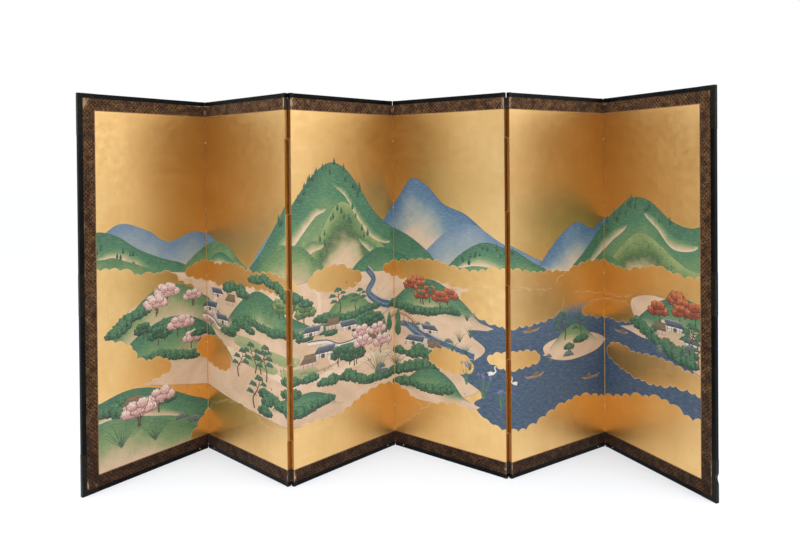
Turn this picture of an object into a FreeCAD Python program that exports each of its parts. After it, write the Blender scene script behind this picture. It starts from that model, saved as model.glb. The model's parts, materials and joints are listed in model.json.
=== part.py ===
"""A six-panel byobu, the folding screen that stands in a zigzag on the floor.

Each panel is a half-lapped cedar lattice closed by a paper sheet on each face.
Lacquered rails cap it above and below, and the two end panels have an outer stile.
Paper wings, laid over and under in turn, join each panel to the next.

Panel coordinates: x runs along the width from the left fold edge, y runs back from
the front face of the rails, and z is the height above the floor.
World coordinates: x to the right, y away from the viewer, z up, in millimetres.
"""
import FreeCAD
import Part
import math
import os

os.makedirs("parts", exist_ok=True)

Vector = FreeCAD.Vector

# Standing screen
screen_height = 1720.0
panel_width = 624.0
frame_depth = 19.0
frame_width = 20.0
centre_panel_heading = 44.9
fold_opening_angles = (85.1, 92.1, 97.1, 108.4, 81.6)

# Folds
fold_gap = 2.0
closing_clearance = 0.2
rail_setback_distance = 1.2

# Papers and brocade, from the rail's front face inwards
brocade_recess_depth = 0.4
brocade_thickness = 0.5
paper_thickness = 1.0
edge_paper_thickness = 0.5
brocade_width = 51.0
brocade_trim_width = 3.0

# Lattice core
core_member_width = 24.0
slat_width = 18.0
housing_depth = 6.0
upright_slat_count = 3
cross_slat_count = 6
joinery_clearance = 0.05

# Lacquered rails and stiles
edge_bevel_width = 2.0

# Metal fittings
fitting_thickness = 0.7
cap_length = 15.0
corner_stile_length = 180.0
corner_rail_length = 50.0
middle_band_length = 180.0
scallop_count = 2

# Nails and hidden pins
nail_fold_distance = 50.0
nail_height = 13.0
nail_head_diameter = 6.0
nail_crown_diameter = 3.6
nail_proud_height = 0.6
nail_facet_count = 12
nail_shank_width = 1.6
nail_length = 14.0
pin_width = 2.4
pin_length = 26.0
pin_place_shares = (0.12, 0.88)

# Paper hinge wings
end_wing_length = 180.0
middle_wing_count = 4
wing_paper_thickness = 0.4
wing_flap_length = 22.0
wing_gap = 3.0
crease_clearance = 0.1

# Worked out from the sizes above
panel_count = len(fold_opening_angles) + 1
centre_panel_index = 2
half_gap = fold_gap / 2
fold_clearance = fitting_thickness + closing_clearance
rail_top = screen_height - frame_width
core_height = screen_height - 2 * frame_width
sheet_front = brocade_recess_depth + brocade_thickness
core_front = sheet_front + paper_thickness
core_back = frame_depth - core_front
core_middle = frame_depth / 2
sheet_back = frame_depth - sheet_front
core_left = edge_paper_thickness
core_right = panel_width - edge_paper_thickness


def box(x_span, y_span, z_span):
    corner = Vector(x_span[0], y_span[0], z_span[0])
    return Part.makeBox(x_span[1] - x_span[0], y_span[1] - y_span[0], z_span[1] - z_span[0], corner)


def prism(points, travel):
    """A closed outline of 3-D points, pushed along travel."""
    return Part.Face(Part.makePolygon(points + [points[0]])).extrude(travel)


def flip_width(shape):
    """The same piece for a panel whose free end is on the right."""
    return shape.mirror(Vector(panel_width / 2, 0, 0), Vector(1, 0, 0))


def flip_height(shape):
    """The same piece at the bottom of the panel."""
    return shape.mirror(Vector(0, 0, screen_height / 2), Vector(0, 0, 1))


def fold_is_valley(fold):
    """The first, third and fifth folds close picture to picture."""
    return fold % 2 == 0


def even_places(start, end, count):
    """The centres of count things spaced evenly between start and end."""
    return [start + (end - start) * (i + 1) / (count + 1) for i in range(count)]


# Lattice core
lap_front = core_middle - joinery_clearance / 2
lap_back = core_middle + joinery_clearance / 2
lap_width = slat_width + 2 * joinery_clearance
upright_places = even_places(core_left, core_right, upright_slat_count)
cross_places = even_places(frame_width, rail_top, cross_slat_count)


def notched_strip(start, end, base, notch_level, top, places, notch_width):
    """A strip's outline as pairs (along, across), with a notch cut from its top side at each place."""
    outline = [(start, base), (end, base), (end, top)]
    for place in reversed(places):
        outline += [(place + notch_width / 2, top), (place + notch_width / 2, notch_level)]
        outline += [(place - notch_width / 2, notch_level), (place - notch_width / 2, top)]
    return outline + [(start, top)]


def cross_slat(height):
    """A horizontal slat, halved from the back where the uprights pass."""
    inset = core_member_width - housing_depth + joinery_clearance
    outline = notched_strip(core_left + inset, core_right - inset, core_front, lap_front, core_back,
                            upright_places, lap_width)
    low = height - slat_width / 2
    return prism([Vector(x, y, low) for x, y in outline], Vector(0, 0, slat_width))


def upright_slat(place):
    """A vertical slat, halved from the front where the cross slats pass."""
    inset = core_member_width - housing_depth + joinery_clearance
    outline = notched_strip(frame_width + inset, rail_top - inset, core_back, lap_back, core_front,
                            cross_places, lap_width)
    left = place - slat_width / 2
    return prism([Vector(left, y, z) for z, y in outline], Vector(slat_width, 0, 0))


def core_stile():
    """The left upright of the core, housed for the cross slats and halved at the corners."""
    inner = core_left + core_member_width
    outline = notched_strip(frame_width, rail_top, core_left, inner - housing_depth, inner,
                            cross_places, lap_width)
    depth = core_back - core_front
    stile = prism([Vector(x, core_front, z) for z, x in outline], Vector(0, depth, 0))
    shoulder = frame_width + core_member_width + joinery_clearance
    lap = box((core_left, inner), (lap_front, core_back), (frame_width, shoulder))
    return stile.cut(lap).cut(flip_height(lap))


def core_rail():
    """The top member of the core, housed for the uprights, halved at the corners and bored for the pins."""
    under = rail_top - core_member_width
    outline = notched_strip(core_left, core_right, rail_top, under + housing_depth, under,
                            upright_places, lap_width)
    depth = core_back - core_front
    rail = prism([Vector(x, core_front, z) for x, z in outline], Vector(0, depth, 0))
    shoulder = core_left + core_member_width + joinery_clearance
    lap = box((core_left, shoulder), (core_front, lap_back), (under, rail_top))
    rail = rail.cut(lap).cut(flip_width(lap))
    return rail.cut(Part.makeCompound(rail_pins()))


def core():
    pieces = [cross_slat(height) for height in cross_places]
    pieces += [upright_slat(place) for place in upright_places]
    pieces += [core_stile(), flip_width(core_stile())]
    pieces += [core_rail(), flip_height(core_rail())]
    return pieces


# Paper sheets and hinge wings
wing_length = (core_height - 2 * end_wing_length) / middle_wing_count


def wing_spans():
    """The height span of each hinge wing, from the bottom up."""
    edges = [frame_width, frame_width + end_wing_length]
    edges += [edges[-1] + wing_length * (i + 1) for i in range(middle_wing_count)]
    edges += [rail_top]
    return [(low + wing_gap / 2, high - wing_gap / 2) for low, high in zip(edges, edges[1:])]


def flap_is_in_front(wing, on_left_panel):
    """Wings cross from front to back in turn, so a wing lies in front on one panel only."""
    return (wing % 2 == 0) == on_left_panel


def from_edge(distance, at_right_edge):
    """A place measured outwards from the panel's fold edge."""
    if at_right_edge:
        return panel_width + distance
    return -distance


def wing_leaf(span, at_right_edge, in_front, valley):
    """One panel's half of a wing: a flap under the sheet, round the edge and up to the crease."""
    flap_face = core_front if in_front else core_back
    outward = -1 if in_front else 1
    flap_top = flap_face + outward * wing_paper_thickness
    crease_side = -1 if valley else 1
    rail_face = 0 if valley else frame_depth
    crease = rail_face + crease_side * fold_clearance
    tip = half_gap - crease_clearance
    tip_inner = (tip, crease - crease_side * crease_clearance)
    tip_outer = (tip, crease - crease_side * (crease_clearance + wing_paper_thickness))
    turn_inner = (0, rail_face)
    turn_outer = (wing_paper_thickness, rail_face)
    profile = [(-wing_flap_length, flap_face), (-wing_flap_length, flap_top)]
    if in_front == valley:
        profile += [(0, flap_top), turn_inner, tip_inner, tip_outer, turn_outer]
        profile += [(wing_paper_thickness, flap_face)]
    else:
        profile += [(wing_paper_thickness, flap_top), turn_outer, tip_outer, tip_inner, turn_inner]
        profile += [(0, flap_face)]
    low, high = span
    points = [Vector(from_edge(e, at_right_edge), y, low) for e, y in profile]
    return prism(points, Vector(0, 0, high - low))


def wing_leaves(fold, on_left_panel):
    """All the leaves of one fold that are pasted to one of its panels."""
    return [wing_leaf(span, on_left_panel, flap_is_in_front(wing, on_left_panel), fold_is_valley(fold))
            for wing, span in enumerate(wing_spans())]


def flap_pockets(panel, in_front):
    """Where the sheet rises over the flaps of the wings on its own face."""
    face = core_front if in_front else core_back
    outward = -wing_paper_thickness if in_front else wing_paper_thickness
    y_span = (min(face, face + outward), max(face, face + outward))
    pockets = []
    for fold, on_left_panel in ((panel - 1, False), (panel, True)):
        if 0 <= fold < panel_count - 1:
            ends = sorted((from_edge(-wing_flap_length, on_left_panel), from_edge(0, on_left_panel)))
            pockets += [box(ends, y_span, span) for wing, span in enumerate(wing_spans())
                        if flap_is_in_front(wing, on_left_panel) == in_front]
    return pockets


def paper_sheet(panel, in_front):
    """The papers of one face, turned in over both edges as far as the middle of the panel."""
    outer, inner = (sheet_front, core_front) if in_front else (sheet_back, core_back)
    outline = [(0, outer), (panel_width, outer), (panel_width, core_middle), (core_right, core_middle),
               (core_right, inner), (core_left, inner), (core_left, core_middle), (0, core_middle)]
    sheet = prism([Vector(x, y, frame_width) for x, y in outline], Vector(0, 0, core_height))
    return sheet.cut(Part.makeCompound(flap_pockets(panel, in_front)))


# Brocade border
def border_ring(panel, outer, inner):
    """Strips along the top and bottom, and down the free end of an end panel, mitred where they meet."""
    left_end = panel == 0
    right_end = panel == panel_count - 1
    back = Vector(0, brocade_thickness, 0)

    def across(distance):
        left = distance if left_end else 0
        right = panel_width - distance if right_end else panel_width
        return left, right

    outer_left, outer_right = across(outer)
    inner_left, inner_right = across(inner)
    high_outer, high_inner = rail_top - outer, rail_top - inner
    low_outer, low_inner = frame_width + outer, frame_width + inner

    def strip(corners):
        return prism([Vector(x, brocade_recess_depth, z) for x, z in corners], back)

    strips = [strip([(outer_left, high_outer), (outer_right, high_outer),
                     (inner_right, high_inner), (inner_left, high_inner)]),
              strip([(outer_left, low_outer), (outer_right, low_outer),
                     (inner_right, low_inner), (inner_left, low_inner)])]
    if left_end:
        strips.append(strip([(outer_left, low_outer), (inner_left, low_inner),
                             (inner_left, high_inner), (outer_left, high_outer)]))
    if right_end:
        strips.append(strip([(outer_right, low_outer), (inner_right, low_inner),
                             (inner_right, high_inner), (outer_right, high_outer)]))
    return strips


def brocade(panel):
    trim_edge = brocade_width + brocade_trim_width
    return border_ring(panel, 0, brocade_width) + border_ring(panel, brocade_width, trim_edge)


# Lacquered frame
def frame_member(to_point, travel, thickening=0.0):
    """A rail or stile of the frame's section, flat inside and bevelled on its outer edges.

    to_point turns (depth, distance out from the inner face) into a point in the panel.
    """
    front = -thickening
    back = frame_depth + thickening
    out = frame_width + thickening
    bevel = edge_bevel_width + thickening * (2 - math.sqrt(2))
    section = [(back, 0), (front, 0), (front, out - bevel), (front + bevel, out),
               (back - bevel, out), (back, out - bevel)]
    return prism([to_point(depth, distance) for depth, distance in section], travel)


def rail_section(start, end, thickening=0.0):
    """A top rail from start to end along the panel."""
    return frame_member(lambda y, out: Vector(start, y, rail_top + out),
                        Vector(end - start, 0, 0), thickening)


def stile_section(low, high, thickening=0.0):
    """A left end stile from low to high."""
    return frame_member(lambda y, out: Vector(-out, y, low), Vector(0, 0, high - low), thickening)


mitre_reach = 2 * frame_width


def mitre_wedge(rail_side):
    """The space above (rail side) or below (stile side) the mitre of the top left corner."""
    inner = (0, rail_top)
    far = (-mitre_reach, rail_top + mitre_reach)
    corner = (0, rail_top + mitre_reach) if rail_side else (-mitre_reach, rail_top)
    points = [Vector(x, -frame_depth, z) for x, z in (inner, far, corner)]
    return prism(points, Vector(0, 3 * frame_depth, 0))


def top_rail_mitred(end, thickening=0.0):
    """The top rail of a left end panel, from its mitred corner to end."""
    rail = rail_section(-frame_width - thickening, end, thickening)
    return rail.cut(mitre_wedge(rail_side=False))


def stile_mitred(low, thickening=0.0):
    """The upper end of the left stile, from low to its mitred corner."""
    stile = stile_section(low, screen_height + thickening, thickening)
    return stile.cut(mitre_wedge(rail_side=True))


def left_stile():
    half = stile_mitred(screen_height / 2)
    return half.fuse(flip_height(half)).removeSplitter()


def rail_pins():
    """Square pins, half in the rail and half in the core's top member."""
    middle = pin_width / 2
    return [box((x - middle, x + middle), (core_middle - middle, core_middle + middle),
                (rail_top - pin_length / 2, rail_top + pin_length / 2))
            for x in [core_left + (core_right - core_left) * share for share in pin_place_shares]]


def nail_place(at_right_edge):
    return Vector(from_edge(-nail_fold_distance, at_right_edge), 0, nail_height)


def shank(at_right_edge):
    """The square shank of a nail in the bottom rail, and the hole that it fills."""
    place = nail_place(at_right_edge)
    half = nail_shank_width / 2
    return box((place.x - half, place.x + half), (0, nail_length), (place.z - half, place.z + half))


def fold_nail(at_right_edge):
    """A brass nail in the bottom rail beside a valley fold, its low head planed in facets."""
    place = nail_place(at_right_edge)

    def ring(diameter, proud):
        corners = [place + Vector(diameter / 2 * math.cos(angle), -proud, diameter / 2 * math.sin(angle))
                   for angle in [2 * math.pi * i / nail_facet_count for i in range(nail_facet_count)]]
        return Part.makePolygon(corners + [corners[0]])

    rings = [ring(nail_head_diameter, 0), ring(nail_crown_diameter, nail_proud_height)]
    head = Part.makeLoft(rings, True, True)
    return head.fuse(shank(at_right_edge))


def valley_edges(panel):
    """Which edges of the panel, left (False) or right (True), are at a valley fold."""
    edges = []
    if panel > 0 and fold_is_valley(panel - 1):
        edges.append(False)
    if panel < panel_count - 1 and fold_is_valley(panel):
        edges.append(True)
    return edges


def top_rail(panel):
    if panel == 0:
        rail = top_rail_mitred(panel_width - rail_setback_distance)
    elif panel == panel_count - 1:
        rail = flip_width(top_rail_mitred(panel_width - rail_setback_distance))
    else:
        rail = rail_section(rail_setback_distance, panel_width - rail_setback_distance)
    return rail.cut(Part.makeCompound(rail_pins()))


def bottom_rail(panel):
    holes = [shank(edge) for edge in valley_edges(panel)]
    return flip_height(top_rail(panel)).cut(Part.makeCompound(holes))


def nails(panel):
    """The brass nails beside the valley folds, and the pins that hold the rails."""
    pins = rail_pins()
    return [fold_nail(edge) for edge in valley_edges(panel)] + pins + [flip_height(pin) for pin in pins]


# Metal fittings
def rail_cap():
    """A cap on the right end of the top rail, round its front, top, back and end."""
    start = panel_width - rail_setback_distance - cap_length
    shell = rail_section(start, panel_width - rail_setback_distance + fitting_thickness, fitting_thickness)
    return shell.cut(rail_section(start, panel_width - rail_setback_distance))


def scallops(height, outward):
    """Shallow scallops across the end of a stile fitting, with a point between each two."""
    half_chord = frame_width / (2 * scallop_count)
    radius = half_chord * math.sqrt(2)
    return [Part.makeCylinder(radius, 3 * frame_depth,
                              Vector(-half_chord * (2 * i + 1), -frame_depth, height + outward * half_chord),
                              Vector(0, 1, 0)) for i in range(scallop_count)]


def corner_fitting():
    """The fitting of the top left corner, round the stile and along the rail."""
    low = screen_height - corner_stile_length
    arms = stile_mitred(low, fitting_thickness).fuse(top_rail_mitred(corner_rail_length, fitting_thickness))
    shell = arms.cut(stile_mitred(low)).cut(top_rail_mitred(corner_rail_length))
    return shell.cut(Part.makeCompound(scallops(low, -1))).removeSplitter()


def middle_fitting():
    """The band round the middle of the left stile."""
    low = (screen_height - middle_band_length) / 2
    high = low + middle_band_length
    shell = stile_section(low, high, fitting_thickness).cut(stile_section(low, high))
    cuts = scallops(low, -1) + scallops(high, 1)
    return shell.cut(Part.makeCompound(cuts))


def above_floor(shape):
    """A fitting at the bottom covers the faces of the frame but not its underside."""
    x_span = (-mitre_reach, panel_width + mitre_reach)
    return shape.cut(box(x_span, (-frame_depth, 2 * frame_depth), (-frame_width, 0)))


def fittings(panel):
    cap = rail_cap()
    if panel == 0:
        top = [cap, corner_fitting()]
        middle = [middle_fitting()]
    elif panel == panel_count - 1:
        top = [flip_width(cap), flip_width(corner_fitting())]
        middle = [flip_width(middle_fitting())]
    else:
        top = [cap, flip_width(cap)]
        middle = []
    return top + middle + [above_floor(flip_height(piece)) for piece in top]


# The zigzag
def turned(x, y, heading):
    angle = math.radians(heading)
    return Vector(x * math.cos(angle) - y * math.sin(angle), x * math.sin(angle) + y * math.cos(angle), 0)


def panel_headings():
    """The direction of each panel's x axis, in degrees from the world's x."""
    turns = [(opening - 180) if fold_is_valley(fold) else (180 - opening)
             for fold, opening in enumerate(fold_opening_angles)]
    start = centre_panel_heading - sum(turns[:centre_panel_index])
    return [start + sum(turns[:panel]) for panel in range(panel_count)]


def crease_depth(fold):
    """How far back the crease line is: before the front faces or behind the back faces."""
    return -fold_clearance if fold_is_valley(fold) else frame_depth + fold_clearance


def panel_origins(headings):
    """Where each panel's own origin stands, with the first panel's at zero."""
    origins = [Vector(0, 0, 0)]
    creases = []
    for fold in range(panel_count - 1):
        depth = crease_depth(fold)
        crease = origins[fold] + turned(panel_width + half_gap, depth, headings[fold])
        creases.append(crease)
        origins.append(crease - turned(-half_gap, depth, headings[fold + 1]))
    return origins, creases


def build_nodes():
    """Every node in panel coordinates, as (name, panel, solids)."""
    nodes = []
    for panel in range(panel_count):
        name = "panel_%d" % (panel + 1)
        nodes.append((name + "_core", panel, core()))
        nodes.append((name + "_picture", panel, [paper_sheet(panel, in_front=True)]))
        nodes.append((name + "_back_paper", panel, [paper_sheet(panel, in_front=False)]))
        nodes.append((name + "_brocade", panel, brocade(panel)))
        nodes.append((name + "_top_rail", panel, [top_rail(panel)]))
        nodes.append((name + "_bottom_rail", panel, [bottom_rail(panel)]))
        nodes.append((name + "_fittings", panel, fittings(panel)))
        nodes.append((name + "_nails", panel, nails(panel)))
    nodes.append(("left_stile", 0, [left_stile()]))
    nodes.append(("right_stile", panel_count - 1, [flip_width(left_stile())]))
    for fold in range(panel_count - 1):
        name = "fold_%d_%d" % (fold + 1, fold + 2)
        nodes.append((name + "_left_wings", fold, wing_leaves(fold, on_left_panel=True)))
        nodes.append((name + "_right_wings", fold + 1, wing_leaves(fold, on_left_panel=False)))
    return nodes


def stand_up(nodes):
    """Set the panels in their zigzag, with the middle of the screen's box over the origin."""
    headings = panel_headings()
    origins, creases = panel_origins(headings)
    placed = []
    for name, panel, solids in nodes:
        placement = FreeCAD.Placement(origins[panel], FreeCAD.Rotation(Vector(0, 0, 1), headings[panel]))
        shape = Part.makeCompound([solid for piece in solids for solid in piece.Solids])
        placed.append((name, shape.transformed(placement.toMatrix(), True)))
    bounds = Part.makeCompound([shape for _, shape in placed]).optimalBoundingBox(False)
    centre = Vector(bounds.Center.x, bounds.Center.y, 0)
    for _, shape in placed:
        shape.translate(-centre)
    return placed, [crease - centre for crease in creases], headings, [origin - centre for origin in origins]


if __name__ == "__main__":
    placed_nodes, crease_lines, heading_list, origin_list = stand_up(build_nodes())
    for node_name, node_shape in placed_nodes:
        node_shape.exportStep("parts/%s.step" % node_name)
    for number, line in enumerate(crease_lines):
        print("fold %d-%d crease at x %.4f y %.4f" % (number + 1, number + 2, line.x, line.y))
    for number, (heading, origin) in enumerate(zip(heading_list, origin_list)):
        print("panel %d origin at x %.4f y %.4f heading %.2f" % (number + 1, origin.x, origin.y, heading))
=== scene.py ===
"""Dresses the folding screen: lacquer, metal fittings, brocade, gold leaf with a landscape, and the papers."""
import bisect
import json
import math
import random

import bmesh
import bpy
from mathutils import Matrix, Vector
from mathutils.geometry import delaunay_2d_cdt


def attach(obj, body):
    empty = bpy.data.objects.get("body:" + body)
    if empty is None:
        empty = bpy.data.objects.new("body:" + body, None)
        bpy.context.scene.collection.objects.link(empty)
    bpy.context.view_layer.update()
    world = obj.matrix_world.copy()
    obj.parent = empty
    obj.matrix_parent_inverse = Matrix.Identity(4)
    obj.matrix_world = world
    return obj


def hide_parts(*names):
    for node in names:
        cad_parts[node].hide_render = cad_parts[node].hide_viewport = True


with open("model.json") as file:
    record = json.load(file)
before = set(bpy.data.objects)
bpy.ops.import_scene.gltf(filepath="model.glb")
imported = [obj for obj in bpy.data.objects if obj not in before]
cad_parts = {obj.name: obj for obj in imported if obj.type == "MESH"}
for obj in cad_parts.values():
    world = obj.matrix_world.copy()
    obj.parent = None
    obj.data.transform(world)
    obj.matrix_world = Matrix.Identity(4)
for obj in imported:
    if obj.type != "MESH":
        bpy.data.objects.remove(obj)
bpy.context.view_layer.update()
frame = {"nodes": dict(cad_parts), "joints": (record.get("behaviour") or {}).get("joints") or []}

# Sizes of the CAD model that the pieces here follow, in metres
MM = 0.001
PANEL_COUNT = 6
FOLD_COUNT = PANEL_COUNT - 1
PANEL_WIDTH = 624 * MM
SCREEN_HEIGHT = 1720 * MM
FRAME_WIDTH = 20 * MM
FRAME_DEPTH = 19 * MM
SHEET_FRONT = 0.9 * MM
SHEET_BACK = 18.1 * MM
BORDER_WIDTH = 54 * MM
TRIM_WIDTH = 3 * MM
FOLD_CLEARANCE = 0.9 * MM
HALF_GAP = 1 * MM
SKIN = 0.12 * MM

FIELD_LOW = FRAME_WIDTH + BORDER_WIDTH
FIELD_HIGH = SCREEN_HEIGHT - FRAME_WIDTH - BORDER_WIDTH

# Sizes of the patterns, in metres
LEAF_SQUARE = 0.105
BROCADE_REPEAT = 0.019
LOZENGE = 0.046


# Where the panels stand
def fold_joint(fold):
    return next(joint for joint in frame["joints"] if joint["name"] == "fold_%d_%d" % (fold + 1, fold + 2))


def crease_depth(fold):
    """The first, third and fifth folds turn about a line before the faces, the others behind the backs."""
    return -FOLD_CLEARANCE if fold % 2 == 0 else FRAME_DEPTH + FOLD_CLEARANCE


def panel_places():
    """The matrix from each panel's own coordinates to the room's, worked out from the creases and rest angles."""
    creases = [Vector(fold_joint(fold)["pos_m"][:2]) for fold in range(FOLD_COUNT)]
    along = creases[2] - creases[1]
    skew = math.atan2(crease_depth(2) - crease_depth(1), PANEL_WIDTH + 2 * HALF_GAP)
    headings = {2: math.atan2(along.y, along.x) - skew}
    for fold in (2, 3, 4, 1, 0):
        turn = math.pi + math.radians(fold_joint(fold)["range_deg"][0])
        turn = -turn if fold % 2 == 0 else turn
        if fold >= 2:
            headings[fold + 1] = headings[fold] + turn
        else:
            headings[fold] = headings[fold + 1] - turn
    places = []
    for panel in range(PANEL_COUNT):
        turn = Matrix.Rotation(headings[panel], 4, "Z")
        fold, reach = (panel, PANEL_WIDTH + HALF_GAP) if panel < FOLD_COUNT else (panel - 1, -HALF_GAP)
        crease = creases[fold].to_3d()
        places.append(Matrix.Translation(crease - turn @ Vector((reach, crease_depth(fold), 0))) @ turn)
    return places


PLACES = panel_places()
BODIES = ["panel_%d" % (panel + 1) for panel in range(PANEL_COUNT)]


# Materials, built a node at a time
class Wire:
    """The output of a node. A sum or product of wires adds the node that works it out."""

    def __init__(self, finish, socket):
        self.finish, self.socket = finish, socket

    def calc(self, operation, *others, out=0):
        kind = "Math" if self.socket.type == "VALUE" else "VectorMath"
        return self.finish.node(kind, dict(enumerate((self, *others))), out, operation=operation)

    def __add__(self, other):
        return self.calc("ADD", other)

    def __sub__(self, other):
        return self.calc("SUBTRACT", other)

    def __mul__(self, other):
        return self.calc("MULTIPLY", other)

    def most(self, other):
        return self.calc("MAXIMUM", other)

    def shift(self, low, high, to_low=0.0, to_high=1.0):
        """Goes softly from to_low to to_high as this value goes from low to high."""
        return self.finish.node("MapRange", {"Value": self, "From Min": low, "From Max": high, "To Min": to_low,
                                             "To Max": to_high}, interpolation_type="SMOOTHSTEP")

    def parts(self):
        split = self.finish.node("SeparateXYZ", {0: self}).socket.node
        return [Wire(self.finish, part) for part in split.outputs]


class Finish:
    """A node material. Each call adds one node and gives its output."""

    def __init__(self, name):
        self.material = bpy.data.materials.new(name)
        self.material.use_nodes = True
        self.tree = self.material.node_tree
        self.shader = self.tree.nodes["Principled BSDF"]

    def node(self, kind, inputs, out=0, **settings):
        node = self.tree.nodes.new("ShaderNode" + kind)
        for name, value in settings.items():
            setattr(node, name, value)
        for key, value in inputs.items():
            self.feed(node.inputs[key], value)
        return Wire(self, node.outputs[out])

    def feed(self, socket, value):
        if isinstance(value, Wire):
            self.tree.links.new(value.socket, socket)
        elif socket.type == "RGBA" and len(value) == 3:
            socket.default_value = (*value, 1.0)
        else:
            socket.default_value = value

    def place(self):
        """The piece's own map: metres across and up the unfolded screen."""
        return self.node("UVMap", {}, uv_map="place")

    def room(self):
        return self.node("TexCoord", {}, "Object")

    def noise(self, place, scale, detail, roughness=0.55, out="Fac"):
        return self.node("TexNoise", {"Vector": place, "Scale": scale, "Detail": detail, "Roughness": roughness}, out)

    def wave(self, place, scale, distortion, detail=1.0, detail_scale=1.0, **settings):
        return self.node("TexWave", {"Vector": place, "Scale": scale, "Distortion": distortion, "Detail": detail,
                                     "Detail Scale": detail_scale}, "Fac", **settings)

    def cells(self, place, scale, **settings):
        return self.node("TexVoronoi", {"Vector": place, "Scale": scale}, "Distance", **settings)

    def attribute(self, name, out="Fac"):
        return self.node("Attribute", {}, out, attribute_name=name)

    def layers(self, colour, *washes):
        """Lays washes over a colour, each a share, its colour and, where it isn't plain, its way of blending."""
        for share, wash, *blending in washes:
            colour = self.node("Mix", {0: share, 6: colour, 7: wash}, 2, data_type="RGBA",
                               blend_type=blending[0] if blending else "MIX")
        return colour

    def bump(self, height, depth, strength):
        """Relief of the given depth in metres."""
        normal = self.node("Bump", {"Height": height, "Distance": depth, "Strength": strength})
        self.feed(self.shader.inputs["Normal"], normal)

    def set(self, **values):
        for name, value in values.items():
            self.feed(self.shader.inputs[name.replace("_", " ")], value)
        return self.material


def repeat_cells(place, size, offset=(0.0, 0.0, 0.0)):
    """Splits a map into square cells. Gives the place from each cell's middle, from -0.5 to 0.5."""
    return (place * (1 / size, 1 / size, 0) + offset).calc("FRACTION") - (0.5, 0.5, 0.0)


def flower(local, petals, radius):
    """A flower with its middle at zero: 1 inside the petals, and the distance from its middle."""
    across, up, _ = local.parts()
    edge = (up.calc("ARCTAN2", across) * petals).calc("COSINE") * (radius * 0.3) + radius * 0.7
    distance = local.calc("LENGTH", out="Value")
    return (edge - distance).shift(-0.05 * radius, 0.05 * radius), distance


def gold_leaf(finish, place):
    """The colour, roughness and relief of gold leaf in overlapping squares, with painted shade at the inner folds."""
    wander = (finish.noise(place, 9, 2, out="Color") - (0.5, 0.5, 0.5)) * (0.006, 0.006, 0.0)
    squares = (place + wander) * (1 / LEAF_SQUARE, 1 / LEAF_SQUARE, 0.0)
    leaf = finish.node("TexWhiteNoise", {"Vector": squares.calc("FLOOR")}, "Value", noise_dimensions="2D")
    across, up, _ = squares.calc("FRACTION").parts()
    lap, line = (across.shift(start, end).most(up.shift(start, end)) for start, end in ((0.05, 0.02), (0.022, 0.0)))
    cloudy = finish.noise(place, 5, 5)
    rubbed = finish.noise(place, 95, 6, 0.7).shift(0.57, 0.72)
    # Painted shade: the leaf darkens and deepens in colour towards the inner folds, and stays paler at the outer
    # folds and ends
    painted_fold_shade = place.parts()[0].calc("PINGPONG", PANEL_WIDTH).shift(0.0, PANEL_WIDTH)
    colour = finish.layers((0.975, 0.655, 0.28),
                           (leaf.shift(0.0, 1.0, 0.0, 0.55), (0.915, 0.595, 0.225)),
                           (cloudy.shift(0.35, 0.7, 0.0, 0.5), (0.86, 0.53, 0.18)),
                           (lap * 0.35, (1.0, 0.74, 0.36)),
                           (line * 0.30, (0.55, 0.30, 0.10)),
                           (rubbed * 0.30, (0.62, 0.33, 0.13)),
                           (painted_fold_shade, (0.90, 0.77, 0.52), "MULTIPLY"))
    rough = finish.noise(place, 30, 4).shift(0.3, 0.7, 0.37, 0.49)
    return colour, rough, lap * 0.3 + cloudy * 0.8 + finish.noise(place, 420, 3) * 0.25


def painted_gold():
    """Gold leaf with mineral colours over it, which thin to gold dust where their cover does."""
    finish = Finish("painted_gold_leaf")
    place = finish.place()
    leaf, rough, height = gold_leaf(finish, place)
    specks = finish.noise(place, 950, 1, 0.4).shift(0.25, 0.75, 0.08, 0.92)
    unworn = finish.noise(place, 55, 7, 0.72).shift(0.66, 0.74, 1.0, 0.45)
    cover = finish.node("Clamp", {"Value": (finish.attribute("pigment", "Alpha") - specks) * 6.0 + 0.5}) * unworn
    grain = finish.noise(place, 260, 5, 0.65)
    strokes = finish.noise(place * (40, 150, 1), 1, 4)
    paint = finish.layers(finish.attribute("pigment", "Color"),
                          (grain.shift(0.3, 0.75, 0.0, 0.40), (0.45, 0.42, 0.36), "MULTIPLY"),
                          (strokes.shift(0.4, 0.75, 0.0, 0.10), (0.85, 0.72, 0.52), "SCREEN"))
    finish.bump(height + grain * cover * 0.5, 0.25 * MM, 0.8)
    return finish.set(Base_Color=finish.layers(leaf, (cover, paint)), Metallic=cover * -0.92 + 0.92,
                      Roughness=finish.node("Mix", {0: cover, 2: rough, 3: 0.82}), Coat_Weight=0.5,
                      Coat_Roughness=0.4)


def at_border_height(room):
    """1 at the height of the brocade borders, 0 between them."""
    up = room.parts()[2]
    return up.shift(FIELD_LOW + MM, FIELD_LOW - MM).most(up.shift(FIELD_HIGH - MM, FIELD_HIGH + MM))


def gilt_paper(name, fresh, old, bare):
    """Gilt paper on the panels' edges, and dark brocade cloth there at the height of the borders."""
    finish = Finish(name)
    room = finish.room()
    border = at_border_height(room)
    fibres = finish.noise(room * (300, 300, 25), 1, 5)
    light = fibres.shift(0.3, 0.7)
    worn = finish.noise(room, 45, 6, 0.7).shift(0.56, 0.68)
    paper = finish.layers(old, (light, fresh), (worn * 0.3, bare))
    cloth = finish.layers((0.016, 0.008, 0.005), (light, (0.055, 0.030, 0.017)), (worn * 0.2, (0.35, 0.25, 0.18)))
    finish.bump(fibres, 0.2 * MM, 0.6)
    return finish.set(Base_Color=finish.layers(paper, (border, cloth)), Roughness=border * 0.34 + 0.42,
                      Metallic=border * -0.85 + 0.85)


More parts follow.
